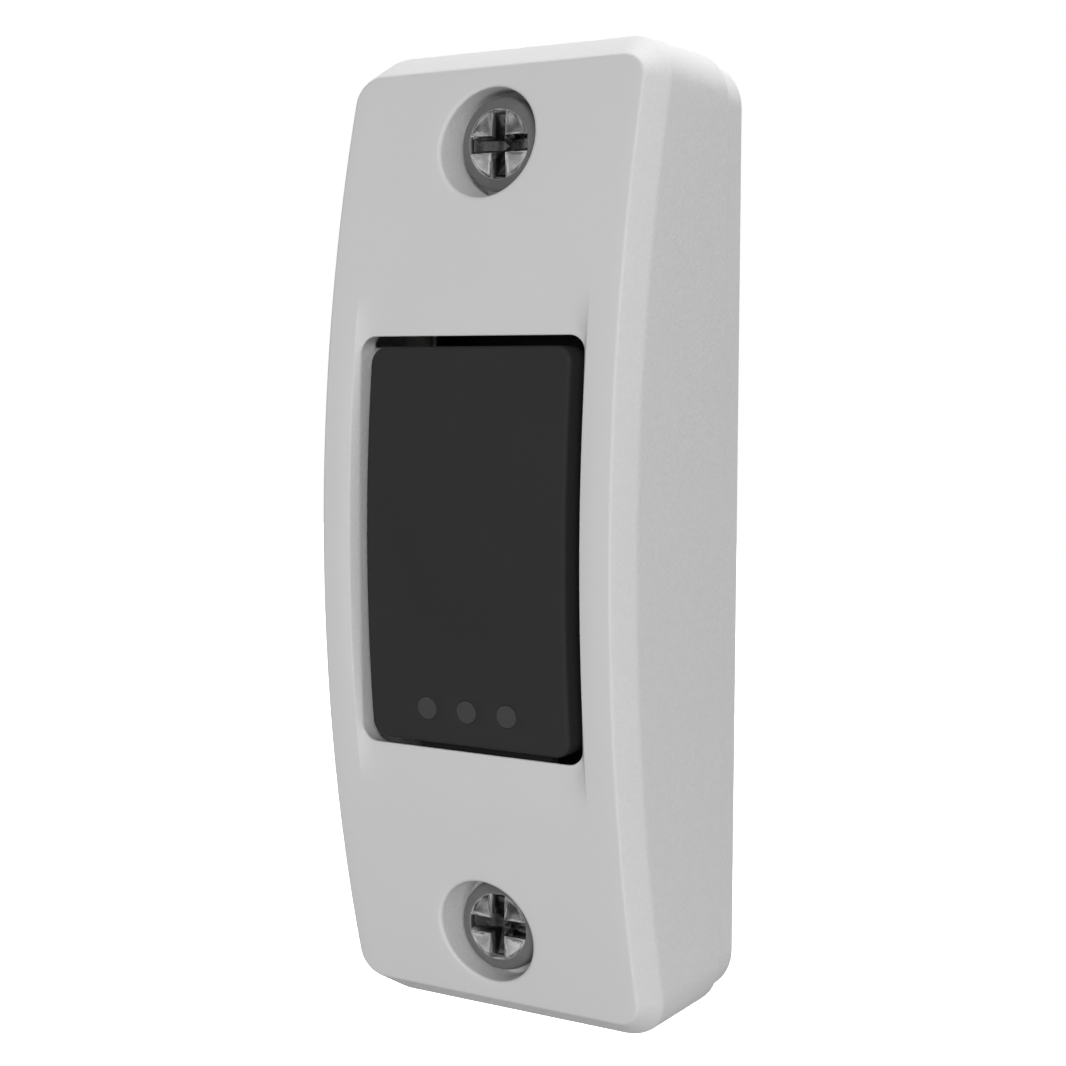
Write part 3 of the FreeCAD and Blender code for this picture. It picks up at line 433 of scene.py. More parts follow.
# %% Board lacquer, tracks and pads
TRACK_LINES, TRACK_HALF, TRACK_TOP = (-6.6, -3.15, 3.15, 6.6), 0.45, 12.0
PAD_PLACES = ((-6.6, -12.8), (-6.6, -5.2), (6.6, -14.1), (6.6, -3.9), (-1.3, -12.65),
              (1.3, -12.65), (-1.7, 5.1), (1.7, 5.1), (-5.8, 7.9), (5.8, 7.9))
PAD_RADIUS = 1.15
MOTTLE_SIZE, WEAVE_SIZE, EDGE_STARTS, EDGE_FULL = 2.5, 0.6, 0.4, 0.6


def laminate():
    finish = Finish("board_laminate")
    x = finish.axes(finish.where)
    z = x["Z"]
    tracks = abs(x - TRACK_LINES[0]) < TRACK_HALF
    for line in TRACK_LINES[1:]:
        tracks = tracks + (abs(x - line) < TRACK_HALF)
    tracks = tracks * (abs(z) < TRACK_TOP)
    pads = 0.0
    for pad_x, pad_z in PAD_PLACES:
        away = ((x - pad_x) ** 2 + (z - pad_z) ** 2) ** 0.5
        pads = (away < PAD_RADIUS) + pads
    pads = finish.ease(pads, EDGE_STARTS, EDGE_FULL)
    mottle = finish.noise(MOTTLE_SIZE, detail=3.0)
    weave = tracks
    for direction in "XZ":
        threads = finish.add("ShaderNodeTexWave", {"bands_direction": direction}, {
            "Vector": finish.where, "Scale": WEAVE_SIZE, "Distortion": WEAVE_SIZE})
        weave = threads * 0.5 + weave
    lacquer = finish.blend(mottle, (0.002, 0.009, 0.005, 1.0), (0.003, 0.013, 0.007, 1.0))
    lined = finish.blend(finish.ease(tracks, EDGE_STARTS, EDGE_FULL), lacquer,
                         (0.006, 0.03, 0.014, 1.0))
    return finish.surface({
        "Base Color": finish.blend(pads, lined, grey(0.62, 0.02)),
        "Metallic": pads * 0.9,
        "Roughness": 0.3 + mottle * 0.12 + pads * 0.08,
        "Normal": finish.bump(weave, 0.012),
    })


board_laminate = laminate()
print("board:", board_laminate.name, "pads:", len(PAD_PLACES))

# %% [markdown]
# ## The small components
# A resistor is painted in bands, a diode is black with one pale ring, a ceramic capacitor is a
# glazed tan disc and the light is a milky epoxy dome. Bands along a lying body are a ramp read by
# height: the stops are hard-edged, so each band keeps a crisp side.

# %% Paints and epoxies
WOBBLE_SIZE, WOBBLE_ALONG, WEAR_SHARE, WEAR_SHADE = 0.8, 0.012, 0.25, 0.3


def banded(name, node, stops, gloss):
    """Paint whose colour changes in bands from one end of a lying part to the other."""
    low, high = reach(node)
    finish = Finish(name)
    along = (finish.axes(finish.where)["Z"] - low.z) / (high.z - low.z)
    wobble = finish.noise(WOBBLE_SIZE)
    bands = finish.add("ShaderNodeValToRGB", {"stops": stops, "between": "CONSTANT"},
                       {"Fac": along + wobble * WOBBLE_ALONG})
    return finish.surface({
        "Base Color": finish.blend(wobble * WEAR_SHARE, bands, grey(WEAR_SHADE)),
        "Roughness": gloss + wobble * 0.15,
        "Normal": finish.bump(wobble, 0.02),
    })


TAN, GOLD = (0.5, 0.33, 0.17, 1.0), (0.36, 0.22, 0.05, 1.0)
BROWN, RED = (0.1, 0.035, 0.012, 1.0), (0.4, 0.02, 0.015, 1.0)
BLACK = grey(0.012)
resistor_paint = banded("resistor_paint", "resistor_body", [
    (0.0, TAN), (0.1, BROWN), (0.19, TAN), (0.33, BLACK), (0.42, TAN), (0.54, RED), (0.63, TAN),
    (0.83, GOLD), (0.92, TAN)], gloss=0.3)
diode_epoxy = banded("diode_epoxy", "diode_body", [
    (0.0, BLACK), (0.72, grey(0.55)), (0.86, BLACK)], gloss=0.28)
SPECKLE_SIZE, CLOUD_SIZE, SPECKLE_SHARE = 0.25, 1.2, 0.6


def glazed(name, first, second, gloss, coat, through=0.0):
    """A speckled body under a clear coat, or a milky one that light passes through."""
    finish = Finish(name)
    speckle = finish.noise(SPECKLE_SIZE, detail=4.0, roughness=0.7)
    cloud = finish.noise(CLOUD_SIZE)
    mixed = speckle * SPECKLE_SHARE + cloud * (1 - SPECKLE_SHARE)
    return finish.surface({
        "Base Color": finish.blend(mixed, first, second),
        "Roughness": gloss + speckle * 0.12,
        "Coat Weight": coat,
        "Transmission Weight": through,
        "Normal": finish.bump(cloud, 0.015),
    })


capacitor_ceramic = glazed("capacitor_ceramic", (0.42, 0.17, 0.035, 1.0),
                           (0.55, 0.25, 0.07, 1.0), gloss=0.25, coat=0.6)
led_epoxy = glazed("led_epoxy", (0.62, 0.5, 0.42, 1.0), (0.75, 0.64, 0.55, 1.0),
                   gloss=0.18, coat=0.3, through=0.35)
switch_plastic = moulded("switch_plastic", level=0.02, grain=0.1, relief=0.004, gloss=0.34,
                         wander=0.15)
print("components:", resistor_paint.name, diode_epoxy.name, capacitor_ceramic.name, led_epoxy.name)

# %% [markdown]
# ## Give the measured parts their finishes
# The back plate, the light guide and nearly all of the inner parts are right as they were
# measured, so they only get a better material. It goes on the object's slot, because the frame's
# meshes aren't changed.

# %% Dress the parts that stay
FINISHES = {
    base_plastic: ["base_plate"],
    guide_plastic: ["light_guide"],
    board_laminate: ["circuit_board"],
    zinc_steel: ["board_screws", "terminal_screws", "terminal_washers"],
    switch_plastic: ["switch_base", "switch_plunger"],
    switch_steel: ["switch_frame"],
    tinned_wire: ["switch_legs", "led_legs", "resistor_leads", "diode_leads", "capacitor_leads"],
    led_epoxy: ["led_lens"],
    resistor_paint: ["resistor_body"],
    diode_epoxy: ["diode_body"],
    capacitor_ceramic: ["capacitor_body"],
    terminal_brass: ["terminal_plates", "terminal_nuts"],
}


def dress(part, material):
    """Puts a material on a measured part without changing its mesh."""
    if not part.material_slots:
        part.data.materials.append(material)
    for slot in part.material_slots:
        slot.link = "OBJECT"
        slot.material = material


for material, names in FINISHES.items():
    for name in names:
        dress(frame["nodes"][name], material)
print("dressed parts:", sum(len(names) for names in FINISHES.values()))

# %% [markdown]
# ## Outlines that fit each other
# Every shell here is a stack of rings: the same outline again and again, a little smaller or a
# little deeper each time. If all the rings of a shell have the same number of points, the faces
# between two rings are simple four-sided bands. So one function makes every rounded rectangle
# with the same counts, whatever its size, and starts it at the same corner.

# %% Rounded rectangles and circles
CORNER_STEPS, LONG_STEPS, SHORT_STEPS, CIRCLE_STEPS = 12, 64, 22, 72


def rounded(half_x, half_z, corner, middle=0.0):
    """Points round a rectangle with round corners, whose middle is at that height."""
    corners = [(1, -1), (1, 1), (-1, 1), (-1, -1)]
    centres = [Vector((sx * (half_x - corner), middle + sz * (half_z - corner)))
               for sx, sz in corners]
    points = []
    for number, centre in enumerate(centres):
        turn = math.pi / 2 * (number - 1)
        for step in range(CORNER_STEPS):
            angle = turn + math.pi / 2 * step / CORNER_STEPS
            points.append(centre + corner * Vector((math.cos(angle), math.sin(angle))))
        out = corner * Vector((math.cos(turn + math.pi / 2), math.sin(turn + math.pi / 2)))
        start, end = centre + out, centres[(number + 1) % 4] + out
        steps = LONG_STEPS if number % 2 == 0 else SHORT_STEPS
        points.extend(start.lerp(end, step / steps) for step in range(steps))
    return points


def circle(radius, z=0.0, x=0.0, steps=CIRCLE_STEPS):
    turns = [math.tau * step / steps for step in range(steps)]
    return [Vector((x + radius * math.cos(turn), z + radius * math.sin(turn))) for turn in turns]


def at(outline, depth):
    """Lifts a flat outline to a depth, which is a number or a function of the place."""
    level = depth if callable(depth) else (lambda x, z: depth)
    return [Vector((point.x, level(point.x, point.y), point.y)) for point in outline]


print("points in a ring:", len(rounded(2.0, 3.0, 1.0)))

# %% [markdown]
# ## Soft edges without a modifier
# No moulded edge is knife sharp. Each edge ring is swapped for a few rings along a small curve: it
# starts a little before the edge, bends towards it and ends a little after. That is a quadratic
# curve, and it can't fold over itself, so it is safe on the very tight corners of the opening.
# A ring `NEAR` by shows the curve which way the face runs.

# %% Turn one sharp ring into a few soft ones
NEAR = 1.0


def soften(before, edge, after, radius, steps=5):
    """Rings along the curve that rounds an edge."""
    rings = [[] for _ in range(steps + 1)]
    for a, b, c in zip(before, edge, after):
        start = b + (a - b).normalized() * radius
        end = b + (c - b).normalized() * radius
        for step, ring in enumerate(rings):
            share = step / steps
            ring.append(start.lerp(b, share).lerp(b.lerp(end, share), share))
    return rings


# %% [markdown]
# ## A skin to collect the faces
# A skin keeps points and faces until a piece is whole. Bands come from pairs of rings. A flat or
# gently curved area between loops, such as the face round the opening and the two wells, is
# harder: it needs triangles that respect every loop. A constrained Delaunay triangulation does
# that in one call, and it says which loops each triangle lies inside, so the holes stay open.

# %% Points, bands and filled areas
ONLY_INSIDE, SAME_POINT = 1, 1e-5


class Skin:
    """The points and faces of one piece, in millimetres: x, depth and z."""

    def __init__(self):
        self.points = []
        self.faces = []

    def ring(self, points):
        first = len(self.points)
        self.points.extend(points)
        return list(range(first, len(self.points)))

    def bands(self, rings):
        """Four-sided faces from each ring to the next."""
        for near, far in zip(rings, rings[1:]):
            for i in range(len(near)):
                j = (i + 1) % len(near)
                self.faces.append((near[i], near[j], far[j], far[i]))

    def stack(self, outlines):
        """Rings from outlines, each joined to the next."""
        rings = [self.ring(points) for points in outlines]
        self.bands(rings)
        return rings

    def area(self, loops, extra=(), across="xz"):
        """Triangles inside the first loop and outside the others, through the extra points."""
        order = [i for loop in loops for i in loop] + self.ring(extra)
        flat = [Vector([getattr(self.points[i], axis) for axis in across]) for i in order]
        borders, start = [], 0
        for loop in loops:
            borders.append(list(range(start, start + len(loop))))
            start += len(loop)
        _, _, triangles, sources, _, inside = delaunay_2d_cdt(
            flat, [], borders, ONLY_INSIDE, SAME_POINT)
        for triangle, owners in zip(triangles, inside):
            if list(owners) == [0]:
                self.faces.append(tuple(order[sources[corner][0]] for corner in triangle))

    def block(self, outline, start, end, axis, edge=0.08):
        """A closed block: an outline carried along one axis, its two rims slightly broken."""
        middle = sum(outline, Vector((0, 0))) / len(outline)
        rings = []
        for level, pull in ((start, edge), (start + edge, 0), (end - edge, 0), (end, edge)):
            drawn = [point + (middle - point).normalized() * pull for point in outline]
            place = {"x": lambda p: (level, p.x, p.y), "depth": lambda p: (p.x, level, p.y)}[axis]
            rings.append([Vector(place(point)) for point in drawn])
        rings = self.stack(rings)
        self.faces += [tuple(rings[0]), tuple(rings[-1])]

    def piece(self, name, body, slot, material, *nodes, sharp=38):
        """Makes the mesh, faces it outwards, and hands it to its body in the frame."""
        mesh = bpy.data.meshes.new(name)
        mesh.from_pydata([(p.x * MM, -p.y * MM, p.z * MM) for p in self.points], [], self.faces)
        work = bmesh.new()
        work.from_mesh(mesh)
        spare = [vertex for vertex in work.verts if not vertex.link_faces]
        bmesh.ops.delete(work, geom=spare, context="VERTS")
        bmesh.ops.recalc_face_normals(work, faces=work.faces)
        open_edges = sum(1 for edge in work.edges if len(edge.link_faces) != 2)
        work.to_mesh(mesh)
        work.free()
        mesh.shade_smooth()
        mesh.set_sharp_from_angle(angle=math.radians(sharp))
        mesh.materials.append(material)
        made = add_object(name, mesh)
        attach(made, body)
        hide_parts(*nodes)
        print(name, "faces:", len(mesh.polygons), "open edges:", open_edges)
        return made


# %% [markdown]
# ## The front cover: its curves
# The cover's face is part of a large cylinder, so the depth at a height is an arch. A shallow
# scoop runs down the middle of the face: a much flatter cylinder, sunk a little, with a steep
# rounded flank on each side. The drop from the arch to the scoop's floor depends on the height
# alone, and the share of that drop on the place across. A soft maximum ends the scoop gently
# where the two cylinders cross.

# %% Depth of the face at any place
ARCH_RADIUS = 129.5
SCOOP_RADIUS, SCOOP_SINK, SCOOP_HALF, SCOOP_FLANK = 450.0, 1.0, 10.4, 0.46
SCOOP_CREASE = 0.05
FRONT_WALL, SIDE_WALL = 2.2, 1.8


def arch(z, inset=0.0):
    """Depth of the face's cylinder, or of one that many millimetres inside it."""
    return math.sqrt((ARCH_RADIUS - inset) ** 2 - z * z) - (ARCH_RADIUS - cover_depth)


def scoop_drop(z):
    """How far the scoop's floor lies behind the arch at a height, fading softly to nothing."""
    floor = math.sqrt(SCOOP_RADIUS ** 2 - z * z) - (SCOOP_RADIUS - cover_depth + SCOOP_SINK)
    drop = arch(z) - floor
    share = min(max(0.5 + drop / SCOOP_CREASE / 2, 0.0), 1.0)
    return drop * share + SCOOP_CREASE * share * (1 - share)


def face(x, z):
    """Depth of the front face, scoop included."""
    across = min(max((SCOOP_HALF - abs(x)) / SCOOP_FLANK, 0.0), 1.0)
    return arch(z) - scoop_drop(z) * across * across * (3 - 2 * across)


def inside_face(x, z):
    return arch(z, FRONT_WALL)


print("scoop depth at the middle: %.2f mm" % (arch(0) - face(0, 0)))

# %% [markdown]
# ## The front cover: the outside
# From the face, a narrow bevel falls to the side walls and a wider one to the ends. Both come
# from the same pair of outlines: the ridge, which is smaller and has tighter corners, and the
# brow, which is the full size. Their rings, softened, run on down the side wall to the foot
# beside the wall, turn under and come up again as the inner wall.

# %% Ridge, brow, wall and foot
SIDE_BEVEL, END_BEVEL, BEVEL_DROP = 0.95, 1.8, 2.4
RIDGE_CORNER, BROW_CORNER = 2.0, 3.8
RIDGE_ROUND, BROW_ROUND, FOOT_ROUND = 0.22, 0.28, 0.18

ridge_x, ridge_z = half_width - SIDE_BEVEL, half_height - END_BEVEL
inner_x, inner_z = half_width - SIDE_WALL, half_height - SIDE_WALL
inner_outline = rounded(inner_x, inner_z, BROW_CORNER - SIDE_WALL)

cover = Skin()
near, ridge = [at(rounded(ridge_x - by, ridge_z - by, RIDGE_CORNER - by), lambda x, z: arch(z))
               for by in (NEAR, 0)]
brow = at(rounded(half_width, half_height, BROW_CORNER), lambda x, z: arch(z, BEVEL_DROP))
foot = [Vector((point.x, cover_foot, point.z)) for point in brow]
under = at(inner_outline, cover_foot)
ceiling = at(inner_outline, inside_face)

outside = soften(near, ridge, brow, RIDGE_ROUND)
outside += soften(ridge, brow, foot, BROW_ROUND)
outside += soften(brow, foot, under, FOOT_ROUND)
outside = cover.stack(outside + [under, ceiling])
print("rings of the outside:", len(outside))

# %% [markdown]
# ## The front cover: the opening and the screw wells
# The opening goes straight through the face, but its two end walls lean away behind the edge, so
# the gap above and below the paddle looks black. Each well is a cup: its mouth has a small round
# that catches the light, its floor carries the screw head, and a tower hangs round it inside.

# %% Opening and wells
OPENING_X, OPENING_Z, OPENING_CORNER, OPENING_ROUND, END_LEAN = 10.0, 15.78, 1.3, 0.2, 0.5
WELL_RADIUS, WELL_WALL, WELL_ROUND, WELL_FILLET, WELL_MARGIN = 4.18, 1.2, 0.35, 0.15, 0.4
HEAD_HEIGHT, SCREW_HOLE = 2.15, 2.0
seat = head_top - HEAD_HEIGHT

mouth_outline = rounded(OPENING_X, OPENING_Z, OPENING_CORNER)
wider = rounded(*[size + OPENING_ROUND for size in (OPENING_X, OPENING_Z, OPENING_CORNER)])
mouth_inside = at(rounded(OPENING_X, OPENING_Z + END_LEAN, OPENING_CORNER), inside_face)
mouth = soften(at(wider, face), at(mouth_outline, face), mouth_inside, OPENING_ROUND)
mouth = cover.stack(mouth + [mouth_inside])


def screw_well(z):
    """Rings from a well's mouth, over its floor and hole, to the outside of its tower."""
    lip = at(circle(WELL_RADIUS, z), face)
    floor_edge = at(circle(WELL_RADIUS, z), seat)
    hole = at(circle(SCREW_HOLE, z), seat)
    rings = soften(at(circle(WELL_RADIUS + WELL_MARGIN, z), face), lip, floor_edge, WELL_ROUND)
    rings += soften(lip, floor_edge, hole, WELL_FILLET, 3)
    rings += [hole, at(circle(SCREW_HOLE, z), boss_top)]
    tower = circle(WELL_RADIUS + WELL_WALL, z)
    return cover.stack(rings + [at(tower, boss_top), at(tower, inside_face)])


wells = [screw_well(side * screw_height) for side in (1, -1)]
print("well rings:", len(wells[0]))

# %% [markdown]
# ## The front cover: the face between the loops
# The face needs points inside it, or the arch would be spanned by long flat triangles. A plain
# grid is enough on the arch. The scoop's flanks are narrow, so they get their own close-set
# columns of points at the heights of the opening's own points, which keep the crease straight.

# %% Fill the face and the ceiling
GRID, FINE, FLANK_END = 1.3, 0.03, 21.0
FACE_MARGIN, FLANK_MARGIN, CEILING_MARGIN = 0.35, 0.02, 1.0


def steps_between(low, high, size):
    count = max(1, round((high - low) / size))
    return [low + (high - low) * step / count for step in range(count + 1)]


def lattice(half_x, low_z, high_z, size=GRID):
    """Places spread evenly over an upright rectangle."""
    return [Vector((x, z)) for x in steps_between(-half_x, half_x, size)
            for z in steps_between(low_z, high_z, size)]


def clear_of(x, z, half_x, half_z, corner, middle=0.0):
    """Distance from a place to a rounded rectangle's edge: positive outside it."""
    away = Vector((abs(x) - half_x + corner, abs(z - middle) - half_z + corner))
    beyond = Vector((max(away.x, 0), max(away.y, 0))).length
    return beyond + min(max(away.x, away.y), 0) - corner


def open_face(x, z, gap):
    """Whether a place is on the face, clear of its edge, the opening and the wells."""
    mouth_gap = clear_of(x, z, OPENING_X, OPENING_Z, OPENING_CORNER)
    well_gap = clear_of(x, z, *[WELL_RADIUS] * 3, middle=math.copysign(screw_height, z))
    edge_gap = -clear_of(x, z, ridge_x, ridge_z, RIDGE_CORNER)
    return min(mouth_gap, well_gap, edge_gap - RIDGE_ROUND) > gap


flank_foot = OPENING_X + OPENING_ROUND + FINE
flank_step = 2 * (OPENING_Z - OPENING_CORNER) / LONG_STEPS
flank_count = round(FLANK_END / flank_step)
grid = [place for place in lattice(ridge_x, -ridge_z, ridge_z) if abs(place.y) > FLANK_END
        or not flank_foot - GRID / 2 < abs(place.x) < SCOOP_HALF + GRID / 4]
flanks = [Vector((side * x, step * flank_step)) for side in (1, -1)
          for x in steps_between(flank_foot, SCOOP_HALF, FINE)
          for step in range(-flank_count, flank_count + 1)]
kept = [place for place in grid if open_face(*place, FACE_MARGIN)]
kept += [place for place in flanks if open_face(*place, OPENING_ROUND + FLANK_MARGIN)]
cover.area([outside[0], mouth[0], wells[0][0], wells[1][0]], at(kept, face))

ceiling_z = inner_z - CEILING_MARGIN
ceiling_grid = lattice(inner_x - CEILING_MARGIN, -ceiling_z, ceiling_z, GRID * 2)
cover.area([outside[-1], mouth[-1], wells[0][-1], wells[1][-1]], at(ceiling_grid, inside_face))
print("faces so far:", len(cover.faces))

# %% [markdown]
# ## The front cover: what it carries inside
# Two ears with bores hold the paddle's trunnions, two webs brace the screw towers against the
# end walls, and two catches behind the long walls let the cover snap onto the back plate. An ear
# is a plate with a hole, so it uses the same filled area as the face, seen from the side.

# %% Ears, webs and catches
PIVOT_HEIGHT, PIVOT_DEPTH, PIVOT_BORE, EAR_RADIUS = 13.1, 14.0, 1.05, 1.9
EAR_IN, EAR_OUT = 10.25, 11.45
WEB_HALF, WEB_FOOT = 0.6, 7.0
CATCH_FOOT, CATCH_TOP, CATCH_HALF, CATCH_STAND = 6.4, 7.2, 3.0, 0.5
BITE, EAR_STEPS, BORE_STEPS = 0.3, 24, 32


def blunt(radius, depth, z, root, steps):
    """A finger seen from the side: half a circle round a place, and a straight root behind it."""
    turns = [math.pi * step / steps for step in range(steps + 1)]
    outline = [Vector((depth - radius * math.sin(turn), z + radius * math.cos(turn)))
               for turn in turns]
    return outline + [Vector((root, z - radius)), Vector((root, z + radius))]


def round_at(radius, depth, z, steps):
    """A circle seen from the side, with its centre at a depth and a height."""
    return [Vector((depth + p.x, z + p.y)) for p in circle(radius, steps=steps)]


def ear(side):
    """One pivot ear, hung from the inside of the face."""
    root = inside_face(0, PIVOT_HEIGHT) + BITE
    outline = blunt(EAR_RADIUS, PIVOT_DEPTH, PIVOT_HEIGHT, root, EAR_STEPS)
    bore = round_at(PIVOT_BORE, PIVOT_DEPTH, PIVOT_HEIGHT, BORE_STEPS)
    faces = []
    for x in (EAR_IN * side, EAR_OUT * side):
        loops = [cover.ring([Vector((x, p.x, p.y)) for p in loop]) for loop in (outline, bore)]
        cover.area(loops, across="yz")
        faces.append(loops)
    for near_loop, far_loop in zip(*faces):
        cover.bands([near_loop, far_loop])


def box_outline(low_x, high_x, low_z, high_z):
    return [Vector(p) for p in ((low_x, low_z), (high_x, low_z), (high_x, high_z), (low_x, high_z))]


for side in (1, -1):
    ear(side)
    ends = sorted((side * (screw_height + WELL_RADIUS + WELL_WALL / 2), side * (inner_z + BITE)))
    roof = inside_face(0, inner_z) + BITE
    cover.block(box_outline(-WEB_HALF, WEB_HALF, *ends), WEB_FOOT, roof, "depth")
    walls = sorted((side * (inner_x - CATCH_STAND), side * (inner_x + BITE)))
    cover.block(box_outline(*walls, -CATCH_HALF, CATCH_HALF), CATCH_FOOT, CATCH_TOP, "depth")
cover.piece("cover_shell", "housing", "cover_plastic", cover_plastic, "front_cover")

# %% [markdown]
# ## The push paddle
# The paddle is a smaller shell of the same kind. Its face follows the cover's arch, a soft round
# runs along the edge, and three round holes near its foot hold the ends of the light guide. It
# hinges at the top, so its inside carries two lugs with trunnions, a lip below that stops it
# under the cover's edge, and a rib with a blunt nose over the switch.

# %% Paddle shell
CAP_X, CAP_CORNER, CAP_SINK, CAP_ROUND = 8.95, 1.3, 0.25, 0.37
CAP_WALL, CAP_FACE, CAP_INNER_CORNER, SKIRT = 1.2, 1.6, 0.8, 14.6
CAP_STEPS, SKIRT_ROUND, SKIRT_STEPS, CAP_MARGIN = 8, 0.15, 3, 0.4
LIP_HALF, LIP_STAND, LIP_THICKNESS, LIP_PLAY = 6.0, 1.15, 1.1, 0.2
DOT_HOLE, DOT_HEIGHT, DOT_SPACING, DOT_STEPS = 0.905, -12.65, 3.6, 40
DOT_ROUND, DOT_ROUND_STEPS, DOT_MARGIN = 0.03, 2, 0.2


def cap_face(x, z):
    return arch(z, CAP_SINK)


def cap_ceiling(x, z):
    return arch(z, CAP_SINK + CAP_FACE)


cap_top, cap_foot = cap_high.z, cap_low.z + LIP_STAND
cap_middle, cap_half_height = (cap_top + cap_foot) / 2, (cap_top - cap_foot) / 2


def cap_ring(inset, corner):
    """The paddle's outline, drawn in by an inset."""
    return rounded(CAP_X - inset, cap_half_height - inset, corner, cap_middle)


cap = Skin()
cap_outline = cap_ring(0, CAP_CORNER)
hollow = cap_ring(CAP_WALL, CAP_INNER_CORNER)
cap_near = at(cap_ring(NEAR, CAP_CORNER - NEAR), cap_face)
cap_edge, cap_skirt = at(cap_outline, cap_face), at(cap_outline, SKIRT)
skirt_inside = at(hollow, SKIRT)
rings = soften(cap_near, cap_edge, cap_skirt, CAP_ROUND, CAP_STEPS)
rings += soften(cap_edge, cap_skirt, skirt_inside, SKIRT_ROUND, SKIRT_STEPS)
rings = cap.stack(rings + [skirt_inside, at(hollow, cap_ceiling)])

holes = []
for number in (-1, 0, 1):
    spot = dict(z=DOT_HEIGHT, x=number * DOT_SPACING, steps=DOT_STEPS)
    around = at(circle(DOT_HOLE + DOT_MARGIN, **spot), cap_face)
    top, low = at(circle(DOT_HOLE, **spot), cap_face), at(circle(DOT_HOLE, **spot), cap_ceiling)
    holes.append(cap.stack(soften(around, top, low, DOT_ROUND, DOT_ROUND_STEPS) + [low]))
inset = CAP_WALL + CAP_MARGIN
cap_grid = lattice(CAP_X - inset, cap_foot + inset, cap_top - inset)
for end, surface in ((0, cap_face), (-1, cap_ceiling)):
    cap.area([loops[end] for loops in [rings] + holes], at(cap_grid, surface))
print("paddle faces so far:", len(cap.faces))

# %% Lugs, trunnions, lip, rib and nose
LUG_RADIUS, PIVOT_RADIUS, PIVOT_STEPS, STUB_EDGE = 1.9, 1.0, 40, 0.12
SWITCH_AT, RIB_TAIL, RIB_HALF, RIB_STAND = -1.0, 4.8, 0.5, 1.33
NOSE_RADIUS, NOSE_HALF, NOSE_PLAY, NOSE_STEPS = 1.2, 1.6, 0.05, 20

rib_back = cap_ceiling(0, SWITCH_AT) - RIB_STAND
nose_middle = plunger_tip + NOSE_PLAY + NOSE_RADIUS
for side in (1, -1):
    lug, stub = [round_at(radius, PIVOT_DEPTH, PIVOT_HEIGHT, PIVOT_STEPS)
                 for radius in (LUG_RADIUS, PIVOT_RADIUS)]
    cap.block(lug, *sorted((side * (CAP_X - CAP_WALL), side * CAP_X)), "x")
    cap.block(stub, *sorted((side * (CAP_X - BITE), side * cap_high.x)), "x", STUB_EDGE)
lip_front = arch(cap_low.z, FRONT_WALL) - LIP_PLAY
cap.block(box_outline(-LIP_HALF, LIP_HALF, cap_low.z, cap_foot + CAP_WALL / 2),
          lip_front - LIP_THICKNESS, lip_front, "depth")
cap.block(box_outline(-RIB_HALF, RIB_HALF, SWITCH_AT - RIB_TAIL, cap_top - CAP_WALL + BITE),
          rib_back, cap_ceiling(0, cap_top) + BITE, "depth")
across = CAP_X - CAP_WALL + BITE
cap.block(box_outline(-across, across, SWITCH_AT - RIB_HALF, SWITCH_AT + RIB_HALF),
          rib_back, cap_ceiling(0, 0) + BITE, "depth")
nose = blunt(NOSE_RADIUS, nose_middle, SWITCH_AT, rib_back + BITE, NOSE_STEPS)
cap.block(nose, -NOSE_HALF, NOSE_HALF, "x")
cap.piece("push_paddle", "button", "button_plastic", button_plastic, "button_cap")

# %% [markdown]
# ## The wall screws: the head
# A pan head has a nearly flat top, a sloping rim and a short upright side. The driver's cross is
# punched into it, so its walls lean, its edges are slightly raised bright lines, and the floors
# of the four arms slope down to a deep middle. Those slopes are what sparkle in the picture, so
# they are real faces: each ring of the cross has the same twelve corners.

# %% Head, cross and recess floor
HEAD_CROWN, HEAD_FLAT, HEAD_TOP_ENDS, RECESS_EDGE = 0.08, 2.68, 2.96, 0.05
ARM, ARM_HALF, END_DRAFT, ARM_DRAFT = 2.57, 0.6, 0.3, 0.24
RECESS_END, RECESS_MIDDLE, RECESS_DEEP = 0.62, 1.45, 1.75
HEAD_PROFILE = ((2.68, 0.08), (2.78, 0.11), (3.3, 0.33), (3.45, 0.43), (3.56, 0.6), (3.61, 0.8))
HEAD_SIDE = 0.95
CROWN_RADII = (2.78, HEAD_FLAT, 2.35, 1.9, 1.5, 1.1)


def cross(arm, half, centre):
    """The twelve corners of a cross, anticlockwise."""
    corner = [Vector((arm, -half)), Vector((arm, half)), Vector((half, half))]
    spun = []
    for quarter in range(4):
        spin = Matrix.Rotation(math.pi / 2 * quarter, 2)
        spun += [Vector((0, centre)) + spin @ point for point in corner]
    return spun


def crown(centre):
    """Depth of the head's top: a slight dome, then the sloping rim."""
    def depth(x, z):
        away = math.hypot(x, z - centre)
        if away < HEAD_FLAT:
            return head_top - HEAD_CROWN * (away / HEAD_FLAT) ** 2
        (near, high), (far, low) = next(
            pair for pair in zip(HEAD_PROFILE, HEAD_PROFILE[1:]) if away <= pair[1][0])
        return head_top - high - (low - high) * (away - near) / (far - near)
    return depth


def recess(z):
    """The foot of the cross: shallow at the arms' ends and deep at the inner corners."""
    foot = at(cross(ARM - END_DRAFT, ARM_HALF - ARM_DRAFT, z), head_top)
    for number, point in enumerate(foot):
        inner = number % 3 == 2
        point.y -= RECESS_MIDDLE if inner else RECESS_END
    return foot


